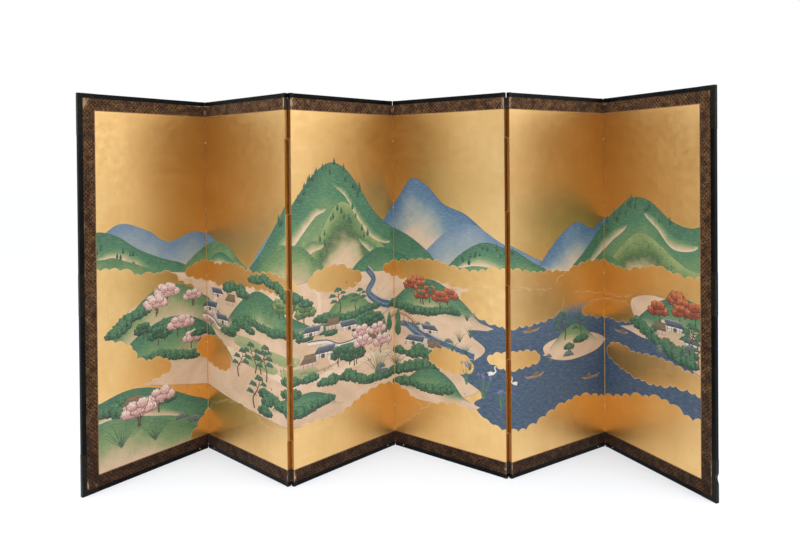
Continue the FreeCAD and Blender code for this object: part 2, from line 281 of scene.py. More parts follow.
def black_lacquer():
    """Deep black lacquer, brown and dull where hands and the floor have rubbed its edges."""
    finish = Finish("black_lacquer")
    place = finish.place()
    cloudy = finish.noise(place, 14, 5)
    fine = finish.noise(place * (60, 60, 1), 8, 6, 0.7)
    chips = finish.noise(place, 130, 6, 0.75).shift(0.55, 0.64)
    worn = finish.attribute("rubbed") * (chips * 0.75 + 0.12)
    colour = finish.layers((0.0022, 0.0028, 0.0036), (cloudy.shift(0.35, 0.7), (0.0060, 0.0058, 0.0060)),
                           (worn, (0.060, 0.042, 0.030)))
    finish.bump(cloudy * 0.6 + fine * 0.08, 0.4 * MM, 0.6)
    return finish.set(Base_Color=colour, Roughness=fine.shift(0.3, 0.7, 0.24, 0.38) + worn * 0.35,
                      Specular_IOR_Level=0.07)


def blackened_metal():
    """Blackened copper with a fine engraved vine and a ring-punched ground."""
    finish = Finish("blackened_metal")
    place = finish.place()
    bent = place + finish.noise(place, 60, 2, out="Color") * (0.009, 0.009, 0.0)
    vine = finish.wave(bent, 48, 6, 0.0, wave_type="RINGS").shift(0.80, 0.93)
    ground = finish.cells(place, 620).shift(0.32, 0.5)
    rubbed = finish.attribute("rubbed") * finish.noise(place, 90, 5).shift(0.42, 0.6)
    colour = finish.layers((0.0075, 0.0080, 0.0075),
                           (finish.noise(place, 40, 5).shift(0.35, 0.7), (0.017, 0.015, 0.012)),
                           (vine * 0.5, (0.045, 0.036, 0.024)), (rubbed * 0.7, (0.13, 0.085, 0.05)))
    finish.bump(vine - ground * 0.35, 0.18 * MM, 0.9)
    return finish.set(Base_Color=colour, Metallic=0.85,
                      Roughness=finish.noise(place, 70, 4).shift(0.3, 0.7, 0.36, 0.55))


def aged_brass():
    finish = Finish("aged_brass")
    tarnish = finish.noise(finish.room(), 420, 4)
    finish.bump(tarnish, 0.1 * MM, 0.5)
    colour = finish.layers((0.80, 0.60, 0.28), (tarnish.shift(0.4, 0.65), (0.42, 0.27, 0.11)))
    return finish.set(Base_Color=colour, Metallic=1.0, Roughness=tarnish.shift(0.3, 0.7, 0.25, 0.45))


def brocade_cloth():
    """Near-black brown silk with a small dense pattern of flowers and vines in dull gold thread."""
    finish = Finish("brocade_cloth")
    place = finish.place()
    big, reach = flower(repeat_cells(place, BROCADE_REPEAT), 5, 0.34)
    small, _ = flower(repeat_cells(place, BROCADE_REPEAT, (0.5, 0.5, 0.0)), 6, 0.24)
    heart, ring = reach.shift(0.085, 0.06), reach.shift(0.10, 0.12) * reach.shift(0.21, 0.18)
    bent = place + finish.noise(place, 150, 1, out="Color") * (0.007, 0.007, 0.0)
    vine = finish.cells(bent, 112, feature="DISTANCE_TO_EDGE").shift(0.13, 0.07)
    weave, threads = (finish.wave(place, scale, 0.3, bands_direction=way) for scale, way in ((380, "Y"), (460, "X")))
    faded = finish.noise(place, 11, 5, 0.6)
    frayed = finish.noise(place, 240, 5, 0.7)
    patchy = finish.noise(place, 23, 4).shift(0.34, 0.62, 0.35, 1.0)
    pattern = (big.most(small) - ring).most(heart).most(vine * 0.65) * (patchy * frayed.shift(0.25, 0.5, 0.4, 1.0))
    thread = finish.layers((0.36, 0.185, 0.070),
                           (finish.noise(place, 36, 3).shift(0.35, 0.65), (0.20, 0.085, 0.036)))
    wear = finish.attribute("worn")
    torn = finish.noise(place * (190, 42, 1), 1, 4, 0.65).shift(0.32, 0.68, 0.15, 0.95)
    bare = (wear - (frayed * 0.25 + torn * 0.85)).shift(0.0, 0.30)
    backing = finish.layers((0.46, 0.31, 0.20), (faded.shift(0.42, 0.6), (0.29, 0.17, 0.085)))
    # Painted shade: the brocade darkens towards the floor, from about 0.45 m down
    painted_floor_shade = place.parts()[1].shift(0.45, 0.06, 0.0, 0.68)
    colour = finish.layers((0.0050, 0.0022, 0.0014),
                           (faded.shift(0.35, 0.7), (0.0120, 0.0054, 0.0032)),
                           (weave * 0.35, (0.005, 0.003, 0.002)),
                           (pattern * 0.85, thread),
                           (wear.shift(0.15, 0.9) * 0.5, (0.22, 0.125, 0.065)),
                           (painted_floor_shade, (0.30, 0.20, 0.14), "MULTIPLY"),
                           (bare, backing))
    finish.bump(pattern * 0.7 + weave * 0.25 + threads * 0.2 - bare, 0.3 * MM, 0.9)
    return finish.set(Base_Color=colour, Metallic=pattern * (bare * -0.45 + 0.45),
                      Roughness=pattern.shift(0.0, 1.0, 0.8, 0.5), Specular_IOR_Level=0.25, Sheen_Weight=0.08,
                      Sheen_Roughness=0.4)


def trim_cloth():
    """The plain lighter brown strip along the brocade's inner edge."""
    finish = Finish("plain_trim")
    place = finish.place()
    twill = finish.wave(place, 520, 0.4, bands_direction="DIAGONAL")
    faded = finish.noise(place, 26, 5, 0.65)
    colour = finish.layers((0.24, 0.105, 0.042), (faded.shift(0.35, 0.7), (0.38, 0.19, 0.085)),
                           (twill * 0.4, (0.065, 0.028, 0.013)))
    finish.bump(twill, 0.2 * MM, 0.8)
    return finish.set(Base_Color=colour, Roughness=0.72, Sheen_Weight=0.2)


def back_pattern_paper():
    """The paper on the backs: dull green-brown, printed with small flowers in lozenges, and browned with age."""
    finish = Finish("printed_back_paper")
    place = finish.place()
    turned = finish.node("Mapping", {"Vector": place, "Rotation": (0.0, 0.0, math.pi / 4)})
    local = repeat_cells(turned, LOZENGE)
    bloom, reach = flower(local, 4, 0.33)
    across, up, _ = local.calc("ABSOLUTE").parts()
    side = across.most(up)
    border = side.shift(0.405, 0.425) * side.shift(0.475, 0.455)
    missed = finish.noise(place, 160, 5, 0.7).shift(0.36, 0.52)
    printed = (bloom - reach.shift(0.09, 0.06)).most(border) * missed
    fibres = finish.noise(place * (60, 260, 1), 1, 5)
    colour = finish.layers((0.16, 0.145, 0.085),
                           (fibres.shift(0.3, 0.7), (0.215, 0.19, 0.115)),
                           (printed * 0.75, (0.40, 0.335, 0.19)),
                           (finish.noise(place, 2.6, 6, 0.62).shift(0.42, 0.75, 0.0, 0.6), (0.19, 0.115, 0.06)),
                           (finish.noise(place, 38, 3).shift(0.70, 0.76, 0.0, 0.6), (0.13, 0.07, 0.035)))
    finish.bump(fibres + finish.noise(place, 6, 3) * 1.6, 0.4 * MM, 0.6)
    return finish.set(Base_Color=colour, Roughness=printed.shift(0.0, 1.0, 0.86, 0.66))


def cedar_wood():
    """Pale straight-grained cedar for the lattice inside the panels."""
    finish = Finish("cedar_wood")
    room = finish.room()
    rings = finish.wave(room * (1.0, 1.0, 0.12), 70, 5, 3, 1.2)
    pores = finish.noise(room * (900, 900, 40), 1, 4)
    colour = finish.layers((0.56, 0.36, 0.20), (rings.shift(0.2, 0.9), (0.38, 0.21, 0.105)),
                           (pores.shift(0.55, 0.75, 0.0, 0.5), (0.24, 0.13, 0.065)))
    finish.bump(rings + pores, 0.2 * MM, 0.6)
    return finish.set(Base_Color=colour, Roughness=0.7)


LACQUER = black_lacquer()
METAL = blackened_metal()
BRASS = aged_brass()
BROCADE = brocade_cloth()
TRIM = trim_cloth()
GOLD = painted_gold()
EDGE_PAPER = gilt_paper("turned_in_sheet", (0.80, 0.48, 0.17), (0.58, 0.32, 0.10), (0.50, 0.29, 0.13))
BACK_PAPER = back_pattern_paper()
# Painted shade: a much darker copy of the gilt paper, for the wings deep in the outer folds
SHADED_OUTER_WING_PAPER = gilt_paper("outer_fold_wing_painted_shade", (0.50, 0.21, 0.038), (0.28, 0.105, 0.014), (0.60, 0.36, 0.15))
INNER_PAPER = gilt_paper("inner_fold_wing", (0.80, 0.47, 0.15), (0.60, 0.31, 0.075), (0.72, 0.50, 0.26))
# Painted shadow: a near-black copy of the gilt paper, for the crease at the back of each outer fold
SHADOWED_CREASE_PAPER = gilt_paper("outer_fold_crease_painted_shadow", (0.20, 0.075, 0.012), (0.09, 0.032, 0.006), (0.42, 0.24, 0.10))
CEDAR = cedar_wood()


# The painting, drawn flat across the six panels in millimetres, with heights above the floor
brush = random.Random(11)
shapes = []

GOLD_DUST = (0.62, 0.38, 0.14)
INK = (0.035, 0.032, 0.030)
BARK = (0.085, 0.045, 0.028)
AZURITE = [(0.060, 0.145, 0.26), (0.13, 0.225, 0.31), (0.36, 0.38, 0.34), (0.66, 0.48, 0.33)]
FAR_BLUE = [(0.13, 0.215, 0.32), (0.27, 0.33, 0.36), (0.54, 0.45, 0.36)]
MALACHITE = [(0.040, 0.15, 0.085), (0.070, 0.215, 0.105), (0.17, 0.285, 0.12), (0.50, 0.42, 0.23)]
MOSS = [(0.085, 0.20, 0.085), (0.18, 0.29, 0.11), (0.46, 0.40, 0.21), (0.72, 0.50, 0.33)]
EARTH = [(0.70, 0.475, 0.31), (0.77, 0.54, 0.37), (0.66, 0.44, 0.28), (0.73, 0.50, 0.33)]
SAND = [(0.80, 0.58, 0.41), (0.73, 0.50, 0.34)]
WATER = [(0.13, 0.20, 0.27), (0.055, 0.105, 0.175), (0.04, 0.085, 0.155)]
LEAF = [(0.018, 0.075, 0.045), (0.035, 0.13, 0.065), (0.085, 0.23, 0.11)]
YOUNG_LEAF = [(0.06, 0.13, 0.05), (0.14, 0.24, 0.08), (0.29, 0.37, 0.14)]
NEEDLE = [(0.012, 0.050, 0.036), (0.025, 0.105, 0.062), (0.06, 0.18, 0.10)]
BLOSSOM = [(0.55, 0.27, 0.25), (0.74, 0.47, 0.42), (0.86, 0.70, 0.62)]
MAPLE = [(0.22, 0.035, 0.018), (0.42, 0.085, 0.030), (0.60, 0.20, 0.06)]
STONE = [(0.045, 0.060, 0.065), (0.11, 0.16, 0.16), (0.26, 0.33, 0.30)]
THATCH = [(0.13, 0.085, 0.05), (0.24, 0.165, 0.095)]
WALL = [(0.55, 0.36, 0.26), (0.72, 0.55, 0.43)]
PLASTER = [(0.66, 0.54, 0.44), (0.88, 0.78, 0.68)]
SHADED_PLASTER = [(0.50, 0.38, 0.30), (0.70, 0.58, 0.48)]
TILES = [(0.035, 0.055, 0.085), (0.085, 0.12, 0.165), (0.15, 0.19, 0.23)]
PLANKS = [(0.26, 0.15, 0.08), (0.46, 0.30, 0.18)]
TRODDEN = [(0.84, 0.63, 0.46), (0.78, 0.57, 0.40)]
PEBBLE = [(0.40, 0.27, 0.19), (0.56, 0.42, 0.32)]
GRASS = [(0.10, 0.22, 0.09), (0.30, 0.36, 0.16)]
CROP = [(0.34, 0.36, 0.16), (0.46, 0.44, 0.24)]
IRIS = [(0.10, 0.09, 0.30), (0.24, 0.22, 0.48)]
ROBES = ((0.04, 0.05, 0.09), (0.28, 0.07, 0.04), (0.08, 0.12, 0.09), (0.72, 0.62, 0.50))
WHITE = (0.84, 0.78, 0.70)
VERMILION = (0.42, 0.085, 0.035)
GREEN_TO_SAND = MALACHITE[1:] + SAND[:1]
SPRING = YOUNG_LEAF[::-1] + MOSS[2:]

# Ridge lines
GREEN_LINE = (0.04, 0.13, 0.07)
DEEP_LINE = (0.035, 0.12, 0.07)
MOSS_LINE = (0.13, 0.20, 0.10)
SPRING_LINE = (0.10, 0.17, 0.08)

# A dark outline's share of the colour that it goes round
OUTLINE_SHARE = 0.55


def blend(colours, share):
    """The colour at a share of the way through an even run of colours."""
    place = min(max(share, 0.0), 0.9999) * (len(colours) - 1)
    index = int(place)
    share = place - index
    return tuple(a + (b - a) * share for a, b in zip(colours[index], colours[index + 1]))


def times(colour, share):
    return tuple(share * part for part in colour)


def ripple(x, z, size):
    """A soft uneven swell between -1 and 1."""
    swell = math.sin(x / size + 1.7 * math.sin(z / size * 0.61 + 0.4))
    return swell * math.sin(z / size * 1.13 + 1.1 * math.sin(x / size * 0.47))


def lay(outline, tone):
    """Lays one flat shape over the ones before it. tone gives (red, green, blue, cover) at a place."""
    shapes.append((outline, tone))


def even(colour, cover=1.0):
    return lambda x, z: (*colour, cover)


def upwards(colours, low, high):
    """A wash that runs through the colours from a low to a high place."""
    return lambda x, z: (*blend(colours, (z - low) / max(high - low, 0.1)), 1.0)


def around(x, z, wide, tall, *shares):
    """Places around (x, z), given as shares of a width and a height."""
    return [(x + wide * across, z + tall * up) for across, up in shares]


def box(left, right, low, high):
    return [(left, low), (right, low), (right, high), (left, high)]


def curve(points, step=9.0, closed=False):
    """Places about step apart on a smooth curve through the points."""
    count = len(points)
    places = []
    for i in range(count if closed else count - 1):
        near = ((i + k) % count if closed else min(max(i + k, 0), count - 1) for k in (-1, 0, 1, 2))
        a, b, c, d = (points[index] for index in near)
        pieces = max(1, round(math.dist(b, c) / step))
        for j in range(pieces):
            t = j / pieces
            places.append(tuple(0.5 * (2 * q + (r - p) * t + (2 * p - 5 * q + 4 * r - s) * t * t
                                       + (3 * q - p - 3 * r + s) * t ** 3)
                                for p, q, r, s in zip(a, b, c, d)))
    return places if closed else places + [points[-1]]


def stroke(points, width, tone, start=1.0, end=1.0):
    """A brush line along the points, with start and end as shares of its width."""
    left, right = [], []
    for i, (x, z) in enumerate(points):
        before, after = points[max(i - 1, 0)], points[min(i + 1, len(points) - 1)]
        run = math.dist(before, after) or 1.0
        across = (-(after[1] - before[1]) / run, (after[0] - before[0]) / run)
        half = width / 2 * (start + (end - start) * i / (len(points) - 1))
        left.append((x + across[0] * half, z + across[1] * half))
        right.append((x - across[0] * half, z - across[1] * half))
    lay(left + right[::-1], tone)


def edge_line(line, width, tone):
    """A thin line along an edge, in short runs so that it may close on itself."""
    step = 14
    for start in range(0, len(line) - 1, step):
        stroke(line[start:start + step + 1], width, tone)


def scalloped(x, z, wide, tall, lobes, turn):
    """The outline of a leafy clump."""
    count, depth = lobes * 4, 0.13
    places = []
    for i in range(count):
        angle = math.tau * i / count
        swell = 1 - depth + depth * abs(math.sin(lobes * angle / 2)) * 1.6
        places.append((x + wide * swell * math.cos(angle + turn), z + tall * swell * math.sin(angle + turn)))
    return places


def dot(x, z, size, tone):
    sides, turn = 5, brush.uniform(0, math.pi)
    angles = [turn + math.tau * i / sides for i in range(sides)]
    lay([(x + size * math.cos(angle), z + size * math.sin(angle)) for angle in angles], tone)


def clump(x, z, size, colours, lobes=6):
    """A leafy clump, outlined dark, lit from above and dabbed with leaves."""
    tall, turn = size * brush.uniform(0.72, 0.9), brush.uniform(0, 1)
    lay(scalloped(x, z - size * 0.08, size * 1.08, tall, lobes, turn), even(times(colours[0], OUTLINE_SHARE)))
    lay(scalloped(x, z, size * 0.92, tall * 0.88, lobes, turn), upwards(colours, z - tall * 0.75, z + tall * 0.8))
    for _ in range(5):
        angle, reach = brush.uniform(0, math.tau), brush.uniform(0.15, 0.7)
        at = (x + size * reach * math.cos(angle), z + tall * reach * math.sin(angle))
        shade = times(colours[2], 1.25) if at[1] > z else colours[0]
        dot(*at, size * brush.uniform(0.09, 0.15), even(shade))


# Land and water
def bare_ground(x, z):
    """The uneven wash of open ground, which every hill's foot runs out into."""
    return blend(EARTH, 0.5 + 0.32 * ripple(x, z, 88.0) + 0.22 * ripple(x + 90, z, 31.0))


def span_at(xs, x):
    """The span of a line that lies over x, by the number of its end."""
    return min(max(bisect.bisect(xs, x), 1), len(xs) - 1)


def hill(crest, foot, colours, reach, ridge=None, skirt=80.0):
    """A hill under a crest line, which it returns. Its colours run down the slope and out into bare ground."""
    (x, z), (far_x, far_z) = crest[0], crest[-1]
    near, far = max(z - foot, 30), max(far_z - foot, 30)
    line = curve([(x - near * 1.7, foot), (x - near * 0.7, foot + near * 0.3), *crest,
                  (far_x + far * 0.7, foot + far * 0.3), (far_x + far * 1.7, foot)])
    line = [(x, max(z, foot)) for x, z in line]
    xs = [place[0] for place in line]

    def tone(x, z):
        end = span_at(xs, x)
        (x0, z0), (x1, z1) = line[end - 1], line[end]
        top = z0 + (z1 - z0) * (x - x0) / max(x1 - x0, 0.1)
        down = (top - z) / reach + 0.10 * ripple(x, z, 42.0) + 0.05 * ripple(x + 300, z, 13.0)
        low = min(max(1.0 - (z - foot - 12 * ripple(x, z, 50.0)) / skirt, 0.0), 1.0)
        return (*blend([blend(colours, down), bare_ground(x, z)], low * low * (3 - 2 * low)), 1.0)

    sag = [(line[i][0], foot - 26 * math.sin(math.pi * i / len(line)) ** 0.6 + 4 * ripple(line[i][0], foot, 24.0) - 5)
           for i in range(len(line) - 5, 5, -5)]
    lay(line + sag, tone)
    if ridge:
        edge_line(line[6:-6], 2.2, even(ridge))
    dark = even(times(colours[0], OUTLINE_SHARE), 0.75)
    for _ in range(len(line) // 5):
        x, top = brush.choice(line[8:-8])
        z = top - brush.uniform(0.06, 0.75) * min(reach, top - foot - skirt * 0.6)
        if z > foot + skirt:
            run, fall = brush.uniform(-9, 9), brush.uniform(12, 30)
            stroke(around(x, z, run, -fall, (0, 0), (0.4, 0.5), (1, 1)), 1.7, dark, 1.0, 0.2)
    return crest


def sweep(points, thick, colours):
    """A fold of the land: a crescent that is green along its top and pale along its lower edge."""
    line = curve(points, 12.0)
    xs = [place[0] for place in line]
    swell = [thick * math.sin(math.pi * (i + 0.5) / len(line)) ** 0.7 for i in range(len(line))]

    def tone(x, z):
        end = span_at(xs, x)
        return (*blend(colours, (line[end][1] - z) / max(swell[end], 1.0) + 0.08 * ripple(x, z, 30.0)), 1.0)

    lay(line + [(x, z - deep) for (x, z), deep in zip(line, swell)][::-1], tone)
    stroke(line, 1.8, even(times(colours[0], 0.5)), 0.3, 0.3)


def path(points, width):
    """A pale trodden path."""
    line = [(x, z + 5 * math.sin(i * 0.8)) for i, (x, z) in enumerate(curve(points, 16.0))]
    stroke(line, width, lambda x, z: (*blend(TRODDEN, 0.5 + 0.5 * ripple(x, z, 20.0)), 1.0), 1.0, 0.7)


def tufts(count, x_span, z_span):
    """Small marks of grass and pebbles on open ground."""
    for _ in range(count):
        x, z = brush.uniform(*x_span), brush.uniform(*z_span)
        if brush.random() < 0.35:
            dot(x, z, brush.uniform(1.6, 3.2), even(blend(PEBBLE, brush.random())))
        else:
            colour = even(blend(GRASS, brush.random()))
            for lean in (-4, 0, 4):
                stroke([(x + lean * 0.3, z), (x + lean, z + brush.uniform(6, 10))], 1.7, colour, 1.0, 0.3)


def moss_dots(crest, drop, count):
    """Small dark dots of far trees along a crest line."""
    line = curve(crest, 4.0)
    for _ in range(count):
        x, z = brush.choice(line)
        dot(x, z - brush.uniform(2, drop), brush.uniform(1.8, 3.4), even((0.03, 0.10, 0.05)))


def far_trees(crest, low, high, count, tall, colours=NEEDLE):
    """Small pointed trees on a slope, the highest first."""
    line = curve(crest, 4.0)
    places = [(x, z - brush.uniform(low, high)) for x, z in (brush.choice(line) for _ in range(count))]
    for x, z in sorted(places, key=lambda place: -place[1]):
        spire(x, z, tall * brush.uniform(0.7, 1.2), colours)


def cloud(outline, lobe):
    """A bank of gold cloud, its edge a run of round scallops. The outline goes round anticlockwise."""
    ring = curve(outline, 4.0, closed=True)
    run = [0.0]
    for a, b in zip(ring, ring[1:] + ring[:1]):
        run.append(run[-1] + math.dist(a, b))
    count = max(6, round(run[-1] / lobe))
    stops = [run[-1] * (i + brush.uniform(-0.22, 0.22)) / count for i in range(count)]
    corners = [ring[bisect.bisect(run, max(stop, 0.0)) % len(ring)] for stop in stops]
    edge, steps, depth = [], 7, 0.24
    for a, b in zip(corners, corners[1:] + corners[:1]):
        for i in range(steps):
            t = i / steps
            bulge = depth * 4 * t * (1 - t)
            edge.append((a[0] + (b[0] - a[0]) * t + (b[1] - a[1]) * bulge,
                         a[1] + (b[1] - a[1]) * t + (a[0] - b[0]) * bulge))
    lay(edge, even(GOLD_DUST, 0.0))
    edge_line(edge + edge[:1], 1.7, even((0.80, 0.55, 0.30), 0.8))


def lake(outline, far_shore):
    """Water that thins to gold dust along its far shore."""
    ring, dust = curve(outline, 12.0, closed=True), 70.0

    def tone(x, z):
        down = (far_shore + 14 * ripple(x, z, 60.0) - z) / dust
        return (*blend(WATER, 0.25 + 0.3 * down + 0.1 * ripple(x, z, 80.0)), min(max(down, 0.0), 1.0) ** 0.7)

    lay(ring, tone)
    edge_line([place for place in ring + ring[:1] if place[1] < far_shore - dust], 2.4,
              even((0.60, 0.48, 0.34), 0.9))


def waves(x_span, z_span, count):
    """Pale wave lines in short overlapping runs."""
    for _ in range(count):
        x, z = brush.uniform(*x_span), brush.uniform(*z_span)
        run = 70.0 * brush.uniform(0.6, 1.4)
        line = [(x + run * t / 14, z + 2.6 * math.sin(t * 1.15 + x) * (1 - abs(t - 7) / 9)) for t in range(15)]
        stroke(line, 1.5, even((0.20, 0.27, 0.32), 0.85), 0.3, 0.3)


def bank(outline):
    """Open ground with a thin brown shore line."""
    ring = curve(outline, 10.0, closed=True)
    lay(ring, lambda x, z: (*bare_ground(x, z), 1.0))
    edge_line(ring + ring[:1], 1.8, even((0.30, 0.18, 0.11), 0.9))


def stream(points, width, end_width):
    """Running water between two pale banks."""
    line, widening = curve(points, 10.0), end_width / width
    stroke(line, width * 1.35, even((0.52, 0.47, 0.40)), 1.0, widening)
    stroke(line, width, lambda x, z: (*blend(WATER, 0.55 + 0.3 * ripple(x, z, 25.0)), 1.0), 1.0, widening)
    for side in (-0.28, 0.0, 0.27):
        current = [(x + side * width * (0.6 + 0.6 * i / len(line)), z + 3 * math.sin(i * 0.9 + side * 9))
                   for i, (x, z) in enumerate(line)]
        stroke(current[2:-2], 1.6, even((0.45, 0.50, 0.52), 0.9), 0.4, 1.0)


def stone(x, z, size):
    """A rock with lit top facets."""
    outline = []
    for share, high in ((-1, 0), (-0.86, 0.45), (-0.45, 0.78), (-0.1, 1.0), (0.35, 0.82), (0.7, 0.5), (1, 0)):
        outline.append((x + size * (share + brush.uniform(-0.1, 0.1)), z + size * high * brush.uniform(0.75, 1.0)))
    lay(outline, upwards(STONE, z - size * 0.15, z + size * 0.95))
    stroke(outline, 1.8, even(INK, 0.9), 0.6, 0.6)
    stroke([outline[3], *around(x, z, size, size, (-0.1, 0.45), (-0.32, 0))], 1.4, even(INK, 0.8), 1.0, 0.2)
    for _ in range(5):
        dot(x + size * brush.uniform(-0.6, 0.5), z + size * brush.uniform(0.5, 0.8), size * 0.07, even(LEAF[1]))


# Trees and plants
def spire(x, z, tall, colours):
    """A narrow pointed tree."""
    wide = tall * 0.19
    lay(around(x, z, wide, tall, (0, 0), (0.8, 0.14), (1, 0.34), (0.62, 0.66), (0, 1), (-0.66, 0.64), (-1, 0.32),
               (-0.8, 0.12)), upwards(colours, z, z + tall))
    if tall > 45:
        for side in (-0.45, 0.1, 0.5):
            stroke(around(x, z, side * wide, tall, (0.6, 0.08), (1, 0.36), (0.3, 0.74)), 1.6, even(colours[2], 0.9),
                   1.0, 0.2)


def trunk(x, z, tall, lean, width):
    """A leaning tapered trunk. Returns where its top is."""
    line = curve(around(x, z, lean * tall, tall, (0, 0), (-0.25, 0.35), (0.6, 0.7), (1, 1)), 7.0)
    stroke(line, width, even(BARK), 1.0, 0.4)
    return line[-1]


def round_tree(x, z, size, colours=LEAF):
    """A broad tree in clumps on a short trunk."""
    top = trunk(x, z, size * 0.8, brush.uniform(-0.15, 0.15), size * 0.11)
    for dx, dz, share in ((-0.42, -0.06, 0.42), (0.44, -0.02, 0.40), (0.0, 0.0, 0.40), (-0.2, 0.28, 0.36),
                          (0.22, 0.30, 0.34)):
        clump(top[0] + size * dx * brush.uniform(0.8, 1.1), top[1] + size * dz, size * share, colours)


def bush(x, z, size):
    for dx, dz, share in ((-0.5, 0.35, 0.42), (0.5, 0.33, 0.42), (0.0, 0.53, 0.5), (0.05, 0.25, 0.4)):
        clump(x + size * dx * brush.uniform(0.8, 1.15), z + size * dz, size * share, LEAF)


def needle_pad(x, z, wide):
    """A flat cloud of pine needles with a scalloped top."""
    tall = wide * 0.42
    outline = around(x, z, wide, wide, (-0.5, 0), (-0.25, 0.06), (0, 0), (0.25, 0.06), (0.5, 0))
    for i in range(13):
        angle = math.pi * i / 12
        swell = 0.86 + 0.2 * abs(math.sin(angle * 2.5))
        outline.append((x + wide / 2 * swell * math.cos(angle), z + tall * swell * math.sin(angle) + 0.02 * wide))
    lay(outline, upwards(NEEDLE, z - tall * 0.2, z + tall * 1.05))
    for i in range(4):
        angle = math.pi * (0.2 + 0.2 * i)
        across, up = math.cos(angle), math.sin(angle)
        stroke(around(x, z, wide * across, tall, (0.08, 0.2), (0.38, 0.78 * up + 0.08)), wide * 0.022 + 0.5,
               even((0.09, 0.22, 0.12), 0.9), 0.5, 1.0)


def pine(x, z, size):
    """An old pine with a bent trunk and flat pads of needles."""
    lean = brush.choice((-1, 1)) * brush.uniform(0.12, 0.32)
    trunk(x, z, size, lean, size * 0.085)
    for share, side, wide in ((0.48, -1, 0.42), (0.60, 1, 0.46), (0.76, -1, 0.44), (0.86, 1, 0.36), (1.0, 0, 0.5)):
        at = (x + lean * size * share * 0.9, z + size * share)
        tip = (at[0] + side * size * brush.uniform(0.28, 0.4), at[1] + size * 0.03)
        if side:
            stroke([at, ((at[0] + tip[0]) / 2, at[1] + size * 0.04), tip], size * 0.035, even(BARK), 1.0, 0.4)
        needle_pad(tip[0], tip[1] - size * 0.02, size * wide)


def blossom_tree(x, z, size):
    """A spreading tree in flower, in washes of colour strewn with petals."""
    top_x, top_z = trunk(x, z, size * 0.62, brush.uniform(-0.3, 0.3), size * 0.09)
    for side in (-0.5, 0.45, -0.2, 0.3):
        stroke([(x, z + size * 0.3), ((x + top_x) / 2 + side * size * 0.4, z + size * 0.55),
                (top_x + side * size, z + size * (0.62 + 0.2 * abs(side)))], size * 0.035, even(BARK), 1.0, 0.3)
    for dx, dz, share in ((-0.46, 0.02, 0.26), (0.44, 0.06, 0.27), (0.0, 0.1, 0.32), (-0.24, 0.27, 0.24),
                          (0.2, 0.3, 0.25)):
        clump(top_x + size * dx, top_z + size * dz, size * share, BLOSSOM, 7)
    for _ in range(34):
        angle, reach = brush.uniform(0, math.tau), math.sqrt(brush.random())
        dot(top_x + size * 0.68 * reach * math.cos(angle), top_z + size * (0.13 + 0.36 * reach * math.sin(angle)),
            size * brush.uniform(0.018, 0.034), even(blend(BLOSSOM, brush.uniform(0.6, 1.0))))


def bamboo(x, z, size, count):
    """A stand of bamboo, its stems slightly fanned."""
    for i in range(count):
        fan = i / max(count - 1, 1) - 0.5
        foot = x + size * 0.5 * fan + brush.uniform(-3, 3)
        tall = size * brush.uniform(0.75, 1.1)
        lean = fan * 0.35 * tall
        line = around(foot, z, lean, tall, *((t * t, t) for t in (0, 0.25, 0.5, 0.75, 1.0)))
        stroke(line, 2.6, even(brush.choice(((0.13, 0.25, 0.10), (0.06, 0.17, 0.08)))), 1.0, 0.5)
        for _ in range(9):
            t = brush.uniform(0.4, 1.0)
            [(sx, sz)] = around(foot, z, lean, tall, (t * t, t))
            side = brush.choice((-1, 1)) * brush.uniform(0.1, 0.2) * size
            stroke([(sx, sz), (sx + side * 0.6, sz + 1.0), (sx + side, sz - abs(side) * 0.45)], 3.4,
                   even(blend(LEAF, brush.random())), 0.6, 0.15)


def blades(x, z, size, count, spread, width=4.2):
    """A tuft of arching blades from one root."""
    for i in range(count):
        lean = spread * (2 * (i + brush.uniform(0.2, 0.8)) / count - 1)
        tall = size * brush.uniform(0.75, 1.1) * (1 - 0.3 * abs(lean))
        root = z + size * 0.05 * (i * 7 % 3) + size * 0.10 * abs(lean)
        line = around(x, z, lean * size, tall, (0.32, 0.45), (0.62, 0.8), (0.92, 1.0 - 0.1 * abs(lean)))
        stroke(curve([(x + lean * size * 0.07, root), *line], 14.0), width, upwards(LEAF, z, z + size), 0.55, 0.12)


def flag_flowers(x, z, size, count):
    """Water irises: blades with a violet flower on some stems."""
    blades(x, z, size, count, 0.55)
    for _ in range(max(2, count // 3)):
        fx, fz = x + size * brush.uniform(-0.4, 0.4), z + size * brush.uniform(0.85, 1.12)
        stroke([(x, z), (fx, fz)], 2.0, even(LEAF[2]), 1.0, 0.6)
        for turn in (0.5, 1.57, 2.64, 3.9, 5.5):
            petal = [(fx + reach * math.cos(turn + aside), fz + reach * math.sin(turn + aside))
                     for reach, aside in ((7, -0.4), (10, 0), (7, 0.4))]
            lay([(fx, fz), *petal], upwards(IRIS, fz - 9, fz + 9))


def thicket(points, step, sizes):
    """Bushes set close along a line, the farthest first."""
    for x, z in sorted(curve(points, step), key=lambda place: -place[1]):
        bush(x + brush.uniform(-5, 5), z + brush.uniform(-5, 5), brush.uniform(*sizes))


def grove(draw, count, x_span, z_span, sizes, *more):
    """Things scattered over a piece of ground, the farthest first."""
    places = sorted(((brush.uniform(*z_span), brush.uniform(*x_span)) for _ in range(count)), reverse=True)
    for z, x in places:
        draw(x, z, brush.uniform(*sizes), *more)


